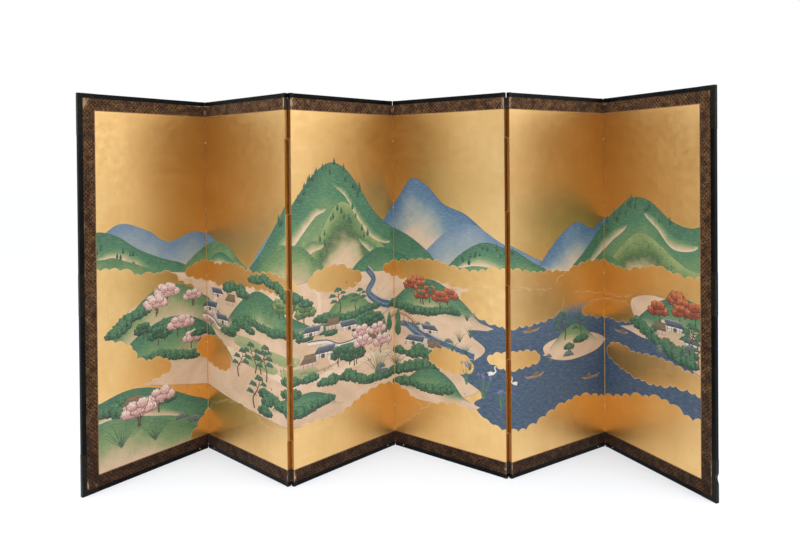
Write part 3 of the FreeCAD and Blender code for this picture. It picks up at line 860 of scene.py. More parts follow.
# Small things on the ground
def cottage(x, z, size, turn=1):
    """A thatched cottage seen from above, with one open side."""
    tall, back = size * 0.34, size * 0.45 * turn
    lay(box(x - size / 2, x + size / 2, z, z + tall), upwards(WALL, z, z + tall))
    near = x + turn * size / 2
    lay(around(near, z, back, tall, (0, 0), (0.7, 0.45), (0.7, 1.3), (0, 1)), upwards(WALL, z, z + tall * 2))
    for share in (-0.3, 0.0, 0.3):
        stroke([(x + size * share, z), (x + size * share, z + tall)], 2.0, even(BARK))
    eave, ridge, top = z + tall * 0.8, z + tall * 2.15, x + back * 0.4
    lay([(x - size * 0.6, eave), (x + size * 0.6, eave), (top + size * 0.38, ridge), (top - size * 0.38, ridge)],
        upwards(THATCH, z + tall * 0.7, ridge))
    stroke([(top - size * 0.42, ridge), (top + size * 0.42, ridge)], size * 0.06, even(THATCH[0]))
    for i in range(9):
        share = size * (i / 8 - 0.5)
        stroke([(x + 1.12 * share, z + tall * 0.84), (top + 0.72 * share, ridge - 2)], 1.2,
               even((0.10, 0.065, 0.04), 0.7))


def storehouse(x, z, size, turn, posts=BARK):
    """A white-walled house under a slate-blue tiled roof."""
    tall, back = size * 0.26, size * 0.34 * turn
    near, far, rise = x + turn * size / 2, x + turn * size / 2 + back, z + size * 0.16
    lay(box(x - size / 2, x + size / 2, z, z + tall), upwards(PLASTER, z, z + tall))
    lay([(near, z), (far, rise), (far, rise + tall), ((near + far) / 2, z + tall * 1.75), (near, z + tall)],
        upwards(SHADED_PLASTER, z, z + tall * 1.7))
    for i in range(5):
        post = x + size * (i / 4 - 0.5) * 0.94
        stroke([(post, z), (post, z + tall)], 2.2, even(posts))
    stroke([(x - size / 2, z + tall * 0.42), (x + size / 2, z + tall * 0.42)], 1.6, even(posts))
    lay(box(x - size * 0.14, x + size * 0.06, z, z + tall * 0.7), even((0.10, 0.07, 0.055)))
    eave, ridge = z + tall * 0.86, z + tall * 1.95
    half, top, reach = turn * size * 0.56, x + back * 0.6, turn * size * 0.5
    roof = [(x - half, eave), (x + half, eave), (top + reach, ridge), (top - reach, ridge)]
    lay(roof, upwards(TILES, eave, ridge))
    for i in range(1, 12):
        low, high = (tuple(a + (b - a) * i / 12 for a, b in zip(start, end))
                     for start, end in ((roof[0], roof[1]), (roof[3], roof[2])))
        stroke([low, high], 1.3, even((0.025, 0.038, 0.06), 0.95))
    stroke([roof[3], roof[2]], size * 0.05, even((0.30, 0.32, 0.33)))
    stroke([roof[0], roof[1]], 1.8, even(INK))


def wall(points):
    """A white garden wall under a small tiled coping."""
    line = curve(points, 14.0)
    top = [(x, z + 17.0) for x, z in line]
    lay(line + top[::-1], even((0.80, 0.68, 0.57)))
    stroke(top, 5.5, even((0.06, 0.085, 0.12)))
    stroke(line, 1.6, even((0.30, 0.20, 0.14)))


def traveller(x, z):
    """A walker in a robe and a straw hat."""
    size = 15.0
    robe = brush.choice(ROBES)
    lean = brush.choice((-1, 1)) * 0.1
    lay(around(x, z, size, size, (-0.2, 0), (0.2, 0), (lean + 0.12, 0.7), (lean - 0.12, 0.7)), even(robe))
    lay(around(x, z, size, size, (lean - 0.2, 0.72), (lean + 0.2, 0.72), (lean, 0.95)), even((0.45, 0.30, 0.14)))


def boat(x, z, size, side=1):
    """A flat river boat with a reed shelter."""
    hull = around(x, z, size, size, (-0.5, 0.08), (-0.36, -0.03), (0.36, -0.03), (0.5, 0.10), (0.3, 0.05),
                  (-0.3, 0.05))
    lay(hull, even((0.30, 0.17, 0.085)))
    stroke([hull[0], hull[5], hull[4], hull[3]], 1.8, even((0.55, 0.38, 0.22)))
    lay(around(x - side * size * 0.1, z, size, size, (-0.14, 0.04), (0.14, 0.04), (0.10, 0.16), (0, 0.20),
               (-0.10, 0.16)), upwards(THATCH, z, z + size * 0.2))


def fence(points):
    """A brushwood fence along the points."""
    line, tall = curve(points, 9.0), 13.0
    for x, z in line:
        stroke([(x, z), (x, z + tall)], 1.7, even(THATCH[0]))
    for share in (0.35, 0.8):
        stroke([(x, z + tall * share) for x, z in line], 1.6, even(THATCH[1]))


def arched_bridge(x0, z0, x1, z1, rise):
    """A plank bridge in a low arch, with a red rail."""
    def arch(lift):
        return [(x0 + (x1 - x0) * t / 12, z0 + (z1 - z0) * t / 12 + rise * math.sin(math.pi * t / 12) + lift)
                for t in range(13)]

    for x, z in arch(0)[2:12:2]:
        stroke([(x, z), (x, z - rise * 0.9)], 3.0, even(BARK))
    lay(arch(0) + arch(9)[::-1], upwards(PLANKS, min(z0, z1), max(z0, z1) + rise))
    for lift in (0, 9):
        stroke(arch(lift), 1.6, even(INK))
    for x, z in arch(9):
        stroke([(x, z), (x, z + 13)], 2.0, even(VERMILION))
    stroke(arch(20), 2.6, even(VERMILION))


def crane(x, z, size, side=1):
    """A white crane standing with a curved neck."""
    def on_bird(*shares):
        return around(x, z, side * size, size, *shares)

    for leg in (-0.06, 0.08):
        stroke(around(x, z, size * leg, size, (1, 0), (0.6, 0.4)), 1.6, even(INK))
    lay(on_bird((-0.34, 0.36), (-0.1, 0.34), (0.2, 0.44), (0.24, 0.56), (0, 0.62), (-0.24, 0.5)), even(WHITE))
    lay(on_bird((-0.42, 0.28), (-0.2, 0.34), (-0.14, 0.46), (-0.32, 0.46)), even(INK))
    stroke(curve(on_bird((0.16, 0.52), (0.34, 0.66), (0.26, 0.86), (0.34, 1.0)), 4.0), size * 0.075, even(WHITE),
           1.3, 0.8)
    stroke(on_bird((0.33, 0.99), (0.5, 0.95)), 1.6, even(INK), 1.2, 0.4)
    dot(x + side * size * 0.335, z + size * 1.02, size * 0.035, even(VERMILION))


# The landscape, from far to near
def far_ranges():
    hill([(-60, 1035), (60, 1095), (170, 1150), (300, 1110), (410, 1050), (560, 1085), (700, 1040),
          (820, 985)], 880, FAR_BLUE, 210)
    hill([(1050, 1010), (1170, 1120), (1290, 1170), (1400, 1100), (1500, 1090)], 900, FAR_BLUE, 200)
    hill([(1700, 1000), (1800, 1120), (1900, 1240), (1985, 1335), (2075, 1300), (2170, 1215), (2290, 1170),
          (2420, 1080), (2560, 1010), (2660, 960)], 860, AZURITE, 260, (0.06, 0.09, 0.18))
    hill([(2090, 1010), (2210, 1100), (2330, 1125), (2460, 1060), (2600, 990), (2700, 950)], 850, FAR_BLUE,
         200)
    hill([(2700, 960), (2810, 1060), (2930, 1120), (3040, 1085), (3150, 1140), (3270, 1100), (3400, 1040)],
         860, AZURITE, 220, (0.08, 0.11, 0.20))
    hill([(3380, 1040), (3500, 1110), (3610, 1080), (3700, 1120), (3800, 1100)], 880, FAR_BLUE, 190)


def near_mountains():
    hill([(-60, 1080), (50, 1120), (150, 1095), (250, 1030), (370, 975), (500, 930)], 820, MALACHITE, 230,
         GREEN_LINE)
    sweep([(40, 1000), (130, 1040), (230, 1010), (340, 930), (440, 890)], 50, GREEN_TO_SAND)
    far_trees([(30, 1110), (150, 1085), (250, 1025)], 30, 110, 12, 34)
    hill([(-60, 980), (60, 1000), (180, 985), (320, 930), (430, 880)], 800, MOSS, 150)
    crest = hill([(470, 900), (580, 985), (690, 1035), (800, 1020), (900, 960), (1000, 905)], 820, MOSS, 190,
                 (0.12, 0.20, 0.10))
    hill([(560, 880), (660, 925), (760, 940), (860, 910), (950, 865)], 800, EARTH, 120)
    sweep([(600, 900), (680, 965), (760, 985), (850, 950), (930, 890)], 46, MALACHITE)
    moss_dots(crest[1:5], 40, 40)

    peak = hill([(980, 930), (1080, 1020), (1180, 1140), (1280, 1265), (1380, 1370), (1470, 1415),
                 (1560, 1385), (1650, 1290), (1740, 1180), (1850, 1100), (1970, 1050), (2080, 980)], 830,
                MALACHITE, 380, DEEP_LINE)
    shoulder = hill([(1330, 960), (1400, 1080), (1470, 1190), (1540, 1235), (1620, 1190), (1700, 1100),
                     (1800, 1010)], 820, SPRING, 260, SPRING_LINE)
    sweep([(1110, 960), (1210, 1075), (1310, 1170), (1380, 1215), (1440, 1210)], 74, GREEN_TO_SAND)
    sweep([(1480, 1330), (1560, 1300), (1640, 1210), (1730, 1110), (1850, 1030)], 70, MALACHITE + SAND[:1])
    sweep([(1190, 930), (1270, 1010), (1350, 1060), (1430, 1050)], 60, MOSS)
    sweep([(1640, 1060), (1730, 1020), (1830, 960), (1940, 930)], 56, GREEN_TO_SAND)
    far_trees(peak[2:8], 8, 60, 26, 46)
    far_trees(shoulder[1:6], 10, 120, 18, 38, LEAF)
    crest = hill([(1010, 890), (1110, 985), (1200, 1050), (1300, 1040), (1390, 970), (1480, 900)], 800, MOSS,
                 190, MOSS_LINE)
    moss_dots(crest[1:5], 50, 40)
    crest = hill([(1560, 880), (1660, 960), (1770, 1000), (1880, 975), (1990, 930), (2090, 880)], 800,
                 MALACHITE, 190)
    moss_dots(crest[1:5], 60, 46)

    crest = hill([(2160, 890), (2270, 990), (2390, 1045), (2510, 1020), (2620, 960), (2740, 900)], 800,
                 MALACHITE, 210, GREEN_LINE)
    sweep([(2250, 930), (2330, 975), (2420, 985), (2520, 950), (2620, 890)], 52, GREEN_TO_SAND)
    far_trees(crest[1:4], 15, 90, 14, 36)
    hill([(2380, 880), (2480, 940), (2590, 950), (2700, 905), (2800, 860)], 790, MOSS, 140)

    crest = hill([(2880, 900), (2990, 985), (3090, 1080), (3200, 1175), (3310, 1240), (3420, 1225),
                  (3530, 1150), (3640, 1120), (3800, 1130)], 800, MALACHITE, 330, DEEP_LINE)
    sweep([(3010, 930), (3090, 1010), (3180, 1080), (3270, 1110)], 58, GREEN_TO_SAND)
    sweep([(3380, 1180), (3460, 1150), (3550, 1080), (3680, 1050)], 60, GREEN_TO_SAND)
    far_trees(crest[2:7], 8, 70, 20, 42)
    crest = hill([(3160, 930), (3250, 1020), (3350, 1080), (3450, 1050), (3560, 980), (3660, 940),
                  (3800, 950)], 800, SPRING, 220, SPRING_LINE)
    moss_dots(crest[1:5], 80, 60)
    hill([(2960, 870), (3060, 930), (3170, 945), (3280, 900), (3380, 860)], 790, MOSS, 150)


def middle_ground():
    bank([(330, 905), (620, 880), (900, 905), (1250, 880), (1500, 905), (1850, 880), (2150, 900), (2400, 850),
          (2420, 700), (2400, 560), (2400, 420), (2200, 300), (1500, 250), (900, 280), (500, 350), (240, 430),
          (160, 600), (220, 800)])
    lake([(2360, 770), (2560, 800), (2900, 790), (3250, 800), (3600, 790), (3820, 800), (3820, 250),
          (3500, 170), (3050, 210), (2700, 180), (2420, 230), (2330, 300), (2380, 350), (2290, 400),
          (2240, 450), (2330, 500), (2390, 560), (2320, 610), (2290, 670)], 745)
    waves((2400, 3680), (300, 700), 74)
    path([(300, 470), (480, 440), (640, 460), (800, 520), (1000, 500), (1240, 450), (1500, 450), (1760, 480),
          (2060, 420)], 34)
    path([(620, 860), (700, 780), (680, 700), (760, 600), (820, 520)], 26)
    path([(1500, 450), (1440, 560), (1380, 660), (1400, 780), (1380, 860)], 26)
    tufts(190, (260, 2300), (290, 860))
    stream([(1690, 905), (1735, 850), (1700, 790), (1780, 730), (1900, 690), (1960, 620), (2080, 560),
            (2240, 520), (2330, 500)], 26, 60)


def slopes():
    hill([(180, 700), (270, 790), (380, 845), (500, 830), (620, 760), (730, 690)], 560, MOSS, 170, MOSS_LINE)
    thicket([(130, 640), (200, 700), (280, 730)], 34, (40, 54))
    grove(blossom_tree, 6, (280, 600), (690, 770), (74, 96))
    hill([(150, 560), (260, 640), (400, 690), (540, 670), (680, 590), (800, 520)], 430, MALACHITE, 200,
         GREEN_LINE)
    thicket([(180, 520), (260, 500), (360, 505), (470, 480), (560, 470)], 36, (40, 56))
    grove(round_tree, 5, (250, 420), (560, 620), (54, 72))
    grove(blossom_tree, 5, (430, 700), (490, 610), (78, 100))
    crest = hill([(830, 700), (930, 780), (1040, 830), (1160, 800), (1260, 730), (1350, 680)], 610, MALACHITE,
                 170, GREEN_LINE)
    moss_dots(crest[1:4], 50, 26)
    bamboo(1000, 700, 120, 13)
    bamboo(1120, 690, 105, 11)
    thicket([(880, 650), (960, 670), (1050, 655), (1150, 640), (1240, 650)], 34, (38, 54))
    grove(round_tree, 5, (1180, 1340), (680, 740), (56, 74), YOUNG_LEAF)
    thicket([(1010, 860), (1090, 870), (1180, 850), (1270, 800), (1320, 770)], 40, (38, 50))
    grove(bush, 5, (760, 960), (780, 830), (40, 56))
    storehouse(720, 765, 84, -1, VERMILION)
    cottage(820, 735, 74)
    storehouse(650, 690, 92, 1)
    storehouse(760, 640, 88, -1)
    wall([(600, 660), (680, 640), (720, 610), (800, 600)])
    grove(bush, 5, (560, 860), (560, 610), (36, 48))
    fence([(660, 610), (740, 596), (830, 612), (880, 650)])
    hill([(1420, 700), (1500, 770), (1600, 800), (1680, 760), (1740, 690)], 620, MOSS, 150, MOSS_LINE)
    pine(1520, 720, 96)
    pine(1620, 716, 84)
    thicket([(1400, 690), (1480, 680), (1570, 675), (1660, 690), (1740, 700)], 36, (38, 52))
    for x, z in ((1560, 850), (1620, 840), (1500, 600), (1650, 610), (1760, 650)):
        traveller(x, z)
    hill([(1880, 740), (1980, 820), (2090, 850), (2200, 810), (2300, 740)], 660, MALACHITE, 150, GREEN_LINE)
    grove(round_tree, 7, (1960, 2240), (720, 790), (50, 68), MAPLE)
    pine(2050, 725, 92)
    thicket([(1880, 700), (1950, 680), (2040, 675), (2130, 690), (2230, 700)], 36, (38, 52))
    arched_bridge(1850, 640, 2010, 610, 34)
    grove(stone, 5, (1880, 2200), (560, 640), (16, 28))


def fields():
    for x, z, wide, tall in ((960, 560, 190, 46), (1180, 530, 170, 42), (1050, 480, 210, 44),
                             (1290, 470, 150, 40)):
        ring = around(x, z, wide, tall, (-0.5, 0), (0.5, -0.2), (0.56, 0.7), (-0.4, 1))
        lay(curve(ring, 12.0, closed=True), upwards(CROP, z, z + tall))
        for i in range(6):
            share = (i + 0.5) / 6
            stroke(around(x, z, wide, tall, (-0.42, share), (0, share - 0.06), (0.46, share - 0.12)), 1.6,
                   even((0.12, 0.24, 0.10), 0.9))
    grove(bush, 8, (1300, 1720), (610, 660), (40, 56))
    storehouse(1350, 640, 84, 1)
    cottage(1470, 650, 72)
    storehouse(1580, 630, 90, -1, VERMILION)
    wall([(1330, 600), (1440, 590), (1520, 560), (1640, 570), (1720, 600)])
    grove(round_tree, 4, (1660, 1760), (590, 640), (50, 64))
    storehouse(1420, 530, 104, 1)
    storehouse(1590, 520, 92, -1)
    cottage(1330, 500, 80)
    cottage(1720, 540, 70, -1)
    fence([(1290, 480), (1380, 470), (1480, 480), (1560, 500)])
    grove(round_tree, 5, (1460, 1700), (450, 500), (54, 74))
    grove(spire, 7, (1780, 1900), (520, 620), (70, 110), LEAF)
    storehouse(1990, 520, 96, 1)
    cottage(2120, 500, 78, -1)
    storehouse(2090, 590, 80, -1, VERMILION)
    grove(bush, 6, (1900, 2200), (440, 490), (44, 58))
    grove(blossom_tree, 4, (1650, 1850), (470, 560), (70, 92))
    thicket([(840, 600), (900, 640), (980, 630)], 34, (40, 54))
    thicket([(1560, 400), (1640, 370), (1740, 350), (1860, 360), (1980, 400), (2090, 410)], 40, (44, 60))
    grove(pine, 4, (860, 1120), (400, 470), (96, 124))
    hill([(1180, 350), (1260, 385), (1350, 390), (1440, 360)], 300, MALACHITE, 90, GREEN_LINE, 34)
    thicket([(1090, 350), (1170, 330), (1260, 310), (1360, 305), (1450, 320)], 36, (42, 58))
    hill([(1960, 360), (2040, 410), (2130, 420), (2210, 380)], 290, MALACHITE, 110, GREEN_LINE, 40)
    thicket([(1900, 310), (1990, 320), (2080, 300), (2180, 320)], 38, (42, 58))
    for _ in range(26):
        traveller(brush.uniform(900, 2180), brush.uniform(380, 560))
    grove(bush, 8, (1150, 1500), (380, 440), (38, 54))
    blades(1760, 380, 150, 20, 0.9, 5.0)
    blades(1880, 400, 120, 16, 0.9, 4.6)
    grove(stone, 4, (1700, 1960), (360, 420), (20, 34))


def shore():
    grove(blades, 7, (2210, 2330), (420, 700), (60, 90), 11, 0.7)
    flag_flowers(2290, 380, 92, 13)
    flag_flowers(2380, 330, 104, 15)
    flag_flowers(2470, 300, 88, 12)
    boat(2620, 640, 110)
    boat(3230, 590, 96, -1)
    boat(2640, 430, 120, -1)
    boat(3020, 360, 130)
    crane(2420, 420, 76)
    crane(2520, 390, 66, -1)
    bank([(2700, 560), (2830, 590), (3000, 585), (3120, 540), (3060, 490), (2880, 470), (2740, 500)])
    hill([(2760, 560), (2850, 620), (2940, 630), (3040, 560)], 520, MOSS, 110, MOSS_LINE)
    pine(2840, 570, 110)
    pine(2950, 565, 92)
    grove(bush, 4, (2780, 3020), (520, 550), (32, 42))
    grove(stone, 5, (2720, 3090), (480, 510), (18, 30))
    bank([(3300, 760), (3420, 800), (3600, 790), (3820, 800), (3820, 520), (3700, 500), (3560, 560),
          (3420, 620), (3320, 680)])
    hill([(3360, 700), (3470, 780), (3590, 815), (3700, 800), (3820, 820)], 620, MALACHITE, 180, GREEN_LINE)
    grove(round_tree, 6, (3460, 3680), (680, 760), (56, 76), MAPLE)
    storehouse(3560, 660, 96, -1)
    cottage(3460, 630, 76)
    storehouse(3650, 610, 80, -1, VERMILION)
    grove(bush, 5, (3420, 3680), (560, 600), (40, 54))
    thicket([(3340, 640), (3400, 610), (3480, 570), (3560, 540), (3640, 520)], 36, (42, 58))
    fence([(3470, 610), (3540, 590), (3620, 596)])
    grove(pine, 3, (3600, 3700), (540, 610), (88, 110))
    grove(stone, 5, (3380, 3640), (540, 600), (16, 28))
    grove(blades, 5, (3330, 3460), (590, 640), (44, 64), 9, 0.8)


def foreground():
    hill([(-60, 330), (80, 380), (220, 400), (380, 360), (520, 290), (640, 230)], 40, MALACHITE, 260,
         GREEN_LINE)
    hill([(-60, 230), (100, 270), (260, 260), (420, 200), (560, 130)], 20, MOSS, 200, MOSS_LINE)
    sweep([(0, 300), (120, 340), (250, 330), (380, 280), (480, 220)], 60, GREEN_TO_SAND)
    grove(bush, 7, (60, 420), (290, 340), (44, 60))
    storehouse(330, 300, 92, -1)
    cottage(210, 310, 80)
    grove(blossom_tree, 3, (90, 360), (220, 270), (96, 120))
    blades(160, 150, 150, 20, 0.9, 5.0)
    blades(330, 130, 130, 18, 0.9, 5.0)
    grove(stone, 4, (420, 600), (150, 220), (22, 38))
    pine(1010, 290, 130)
    grove(bush, 6, (1050, 1330), (270, 320), (46, 62))


# Gold cloud banks between the distances, each laid after the ground that it covers
CLOUDS = [
    [(-80, 930), (-80, 800), (120, 770), (330, 790), (520, 760), (560, 800), (470, 850), (420, 900), (260, 905),
     (120, 950)],
    [(500, 890), (610, 850), (800, 830), (1010, 850), (1230, 840), (1270, 880), (1150, 920), (1000, 905),
     (860, 935), (700, 920), (590, 930)],
    [(1330, 880), (1440, 830), (1600, 835), (1660, 870), (1590, 910), (1500, 940), (1390, 920)],
    [(1800, 900), (1900, 850), (2100, 855), (2290, 830), (2500, 800), (2760, 790), (2860, 830), (2840, 890),
     (2650, 900), (2480, 930), (2300, 905), (2100, 940), (1950, 925)],
    [(2260, 790), (2380, 700), (2560, 675), (2740, 690), (2830, 740), (2780, 800), (2560, 830), (2380, 830)],
    [(2790, 850), (2880, 800), (2990, 790), (3180, 770), (3400, 790), (3600, 760), (3830, 770), (3830, 930),
     (3620, 900), (3450, 930), (3260, 890), (3080, 920), (2960, 915)],
]
LOW_CLOUDS = [
    [(-80, 620), (-80, 430), (100, 400), (300, 420), (420, 450), (380, 500), (250, 520), (200, 600), (60, 640)],
    [(560, 520), (640, 440), (760, 420), (820, 450), (790, 520), (720, 560), (630, 560)],
    [(2960, 690), (3080, 655), (3240, 650), (3380, 680), (3330, 720), (3180, 730), (3040, 725)],
    [(2400, 520), (2500, 490), (2640, 495), (2690, 520), (2600, 550), (2480, 555)],
    [(2080, 470), (2180, 430), (2300, 440), (2330, 480), (2240, 520), (2130, 520)],
    [(3130, 480), (3240, 420), (3420, 400), (3600, 430), (3830, 400), (3830, 520), (3640, 500), (3480, 520),
     (3300, 510), (3200, 530)],
]
BOTTOM_CLOUDS = [
    [(620, 30), (2020, 30), (2060, 180), (1960, 270), (1800, 320), (1640, 290), (1500, 240), (1330, 250),
     (1180, 210), (1040, 240), (900, 270), (760, 260), (640, 200), (560, 110)],
    [(1990, 30), (3830, 30), (3830, 330), (3660, 300), (3480, 340), (3300, 300), (3120, 250), (2950, 280),
     (2760, 250), (2600, 200), (2430, 220), (2260, 270), (2110, 250), (2010, 170)],
]


def paint_landscape():
    far_ranges()
    near_mountains()
    middle_ground()
    for outline in CLOUDS:
        cloud(outline, 52.0)
    # Gold over the gap between two banks
    lay(curve([(2740, 800), (2800, 775), (2880, 772), (2920, 800), (2880, 835), (2790, 840)], 8.0,
              closed=True), even(GOLD_DUST, 0.0))
    slopes()
    fields()
    for outline in LOW_CLOUDS:
        cloud(outline, 46.0)
    shore()
    foreground()
    for outline in BOTTOM_CLOUDS:
        cloud(outline, 60.0)


# Pieces
def stand(name, data):
    """A new object of the scene."""
    piece = bpy.data.objects.new(name, data)
    bpy.context.scene.collection.objects.link(piece)
    return piece


def belong(piece, panel, slot, *nodes):
    """Gives a piece its body and hides the CAD nodes that it stands for. The slot is not used."""
    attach(piece, BODIES[panel])
    if nodes:
        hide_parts(*nodes)


def lay_map(mesh, panel):
    """Gives every face corner its place on the unfolded screen in metres, flattened the way that its face looks."""
    place = mesh.loops.layers.uv.new("place")
    for face in mesh.faces:
        across, up = (1, 2) if abs(face.normal.x) > 0.8 else (0, 1) if abs(face.normal.z) > 0.8 else (0, 2)
        for loop in face.loops:
            loop[place].uv = (loop.vert.co[across] + panel * PANEL_WIDTH, loop.vert.co[up])


def finished(name, mesh, panel, finishes, slot, *nodes):
    """Makes a piece of a mesh in panel coordinates and stands it in its place."""
    mesh.transform(PLACES[panel])
    data = bpy.data.meshes.new(name)
    mesh.to_mesh(data)
    mesh.free()
    for material in finishes:
        data.materials.append(material)
    belong(stand(name, data), panel, slot, *nodes)


def from_node(node, panel):
    """A merged copy of a CAD node, in the coordinates of its panel."""
    mesh = bmesh.new()
    mesh.from_mesh(frame["nodes"][node].data)
    mesh.transform(PLACES[panel].inverted())
    bmesh.ops.remove_doubles(mesh, verts=mesh.verts, dist=2e-6)
    bmesh.ops.dissolve_limit(mesh, angle_limit=math.radians(0.5), verts=mesh.verts, edges=mesh.edges)
    return mesh


def cut_across(mesh, axis, at):
    """Adds edges all round a mesh where a plane across an axis cuts it."""
    place, normal = Vector((0, 0, 0)), Vector((0, 0, 0))
    place[axis], normal[axis] = at, 1.0
    bmesh.ops.bisect_plane(mesh, geom=mesh.verts[:] + mesh.edges[:] + mesh.faces[:], dist=1e-7, plane_co=place,
                           plane_no=normal)


# Edges that turn by more than this are eased
SHARP_ANGLE = math.radians(20)


def ease_edges(mesh, width):
    """Rounds the sharp edges and marks what they cover as rubbed."""
    rubbed = mesh.faces.layers.float.new("rubbed")
    sharp = [edge for edge in mesh.edges if len(edge.link_faces) == 2 and edge.calc_face_angle(0.0) > SHARP_ANGLE]
    result = bmesh.ops.bevel(mesh, geom=sharp, offset=width, segments=3, affect="EDGES", clamp_overlap=True,
                             profile=0.5)
    for face in result["faces"]:
        face.smooth = True
        face[rubbed] = 1.0


# The fold, counted from 0, whose slit stands open between the top rails
OPEN_SLIT = 3
# The folds whose creases end below the top rails
SHORT_CREASES = (2, OPEN_SLIT)


def reach_to_folds(mesh, panel):
    """Takes the ends of the rails and their caps nearer to the folds, but leaves one slit open at the top."""
    for x, fold, outward in ((0.0, panel - 1, -1), (PANEL_WIDTH, panel, 1)):
        if not 0 <= fold < FOLD_COUNT:
            continue
        ends = {round(vertex.co.x, 5) for vertex in mesh.verts if abs(vertex.co.x - x) < 2 * MM}
        for vertex in mesh.verts:
            if round(vertex.co.x, 5) in ends:
                back = min(max(vertex.co.y / FRAME_DEPTH, 0.0), 1.0)
                reach = (0.2 - 0.9 * back) * MM if fold % 2 == 0 else 0.8 * MM
                if fold == OPEN_SLIT and vertex.co.z > SCREEN_HEIGHT / 2:
                    reach = -0.5 * MM
                vertex.co.x = x + outward * (reach - abs(vertex.co.x - x) * 0.3)


def dent(mesh):
    """The old dent in the outer edge of the last stile, near the floor."""
    middle, half, depth, pressed = 99 * MM, 26 * MM, 7.2 * MM, 10 * MM
    for i in range(-6, 7):
        cut_across(mesh, 2, middle + half * i / 6)
    for vertex in mesh.verts:
        away = min(abs(vertex.co.z - middle) / half, 1.0)
        share = (vertex.co.x - PANEL_WIDTH - FRAME_WIDTH + pressed) / pressed
        vertex.co.x -= depth * (0.5 + 0.5 * math.cos(math.pi * away)) * min(max(share, 0.0), 1.0)


def framed_piece(node, panel, finish, slot, width):
    """A rail, a stile or a set of caps with eased edges, in place of its CAD node."""
    mesh = from_node(node, panel)
    reach_to_folds(mesh, panel)
    if panel == FOLD_COUNT:
        dent(mesh)
    ease_edges(mesh, width)
    lay_map(mesh, panel)
    finished(node + "_finished", mesh, panel, [finish], slot, node)


def frame_pieces():
    """The lacquered rails and stiles and the metal caps on their corners."""
    wood = (LACQUER, "black_lacquer", 0.7 * MM)
    for panel, body in enumerate(BODIES):
        framed_piece(body + "_top_rail", panel, *wood)
        framed_piece(body + "_bottom_rail", panel, *wood)
        framed_piece(body + "_fittings", panel, METAL, "blackened_metal", 0.22 * MM)
    framed_piece("left_stile", 0, *wood)
    framed_piece("right_stile", FOLD_COUNT, *wood)


# Domed heads, set on points by a node tree
def domed_heads_tree():
    """Puts a ball, made as flat as a head, at each place and turns it with the panel."""
    tree = bpy.data.node_groups.new("domed_heads", "GeometryNodeTree")
    face = tree.interface
    face.new_socket("Places", in_out="INPUT", socket_type="NodeSocketGeometry")
    for name, value in (("Diameter", 6 * MM), ("Height", 1.2 * MM), ("Heading", 0.0)):
        face.new_socket(name, in_out="INPUT", socket_type="NodeSocketFloat").default_value = value
    face.new_socket("Finish", in_out="INPUT", socket_type="NodeSocketMaterial")
    face.new_socket("Heads", in_out="OUTPUT", socket_type="NodeSocketGeometry")
    nodes, links = tree.nodes, tree.links
    given, made = nodes.new("NodeGroupInput"), nodes.new("NodeGroupOutput")
    ball = nodes.new("GeometryNodeMeshUVSphere")
    ball.inputs["Segments"].default_value = 20
    ball.inputs["Rings"].default_value = 12
    ball.inputs["Radius"].default_value = 0.5
    size, turn = nodes.new("ShaderNodeCombineXYZ"), nodes.new("ShaderNodeCombineXYZ")
    twice = nodes.new("ShaderNodeMath")
    twice.operation = "MULTIPLY"
    twice.inputs[1].default_value = 2.0
    put, smooth = nodes.new("GeometryNodeInstanceOnPoints"), nodes.new("GeometryNodeSetShadeSmooth")
    real, dress = nodes.new("GeometryNodeRealizeInstances"), nodes.new("GeometryNodeSetMaterial")
    for source, target in (
            (given.outputs["Diameter"], size.inputs[0]), (given.outputs["Height"], twice.inputs[0]),
            (twice.outputs[0], size.inputs[1]), (given.outputs["Diameter"], size.inputs[2]),
            (given.outputs["Heading"], turn.inputs[2]), (given.outputs["Places"], put.inputs["Points"]),
            (ball.outputs["Mesh"], put.inputs["Instance"]), (size.outputs[0], put.inputs["Scale"]),
            (turn.outputs[0], put.inputs["Rotation"]), (put.outputs[0], smooth.inputs[0]),
            (smooth.outputs[0], real.inputs[0]), (real.outputs[0], dress.inputs[0]),
            (given.outputs["Finish"], dress.inputs["Material"]), (dress.outputs[0], made.inputs[0])):
        links.new(source, target)
    return tree


def domed_heads(name, panel, points, tree, finish, diameter, height):
    """A plain mesh of domed heads at points of a panel, turned with it."""
    data = bpy.data.meshes.new(name + "_places")
    data.from_pydata([PLACES[panel] @ Vector(point) for point in points], [], [])
    seed = stand(name + "_places", data)
    modifier = seed.modifiers.new("heads", "NODES")
    modifier.node_group = tree
    sockets = {item.name: item.identifier for item in tree.interface.items_tree if item.in_out == "INPUT"}
    modifier[sockets["Diameter"]] = diameter
    modifier[sockets["Height"]] = height
    modifier[sockets["Heading"]] = PLACES[panel].to_euler().z
    modifier[sockets["Finish"]] = finish
    made = bpy.data.meshes.new_from_object(seed.evaluated_get(bpy.context.evaluated_depsgraph_get()))
    bpy.data.objects.remove(seed)
    return stand(name, made)


def nails():
    """The brass nails in the bottom rails beside the folds that go back."""
    tree = domed_heads_tree()
    inset, up, diameter, rise = 50 * MM, 13 * MM, 6 * MM, 0.6 * MM
    for panel, body in enumerate(BODIES):
        across = PANEL_WIDTH - inset if panel % 2 == 0 else inset
        piece = domed_heads(body + "_nail_head", panel, [(across, 0.0, up)], tree, BRASS, diameter, rise)
        belong(piece, panel, "brass", body + "_nails")


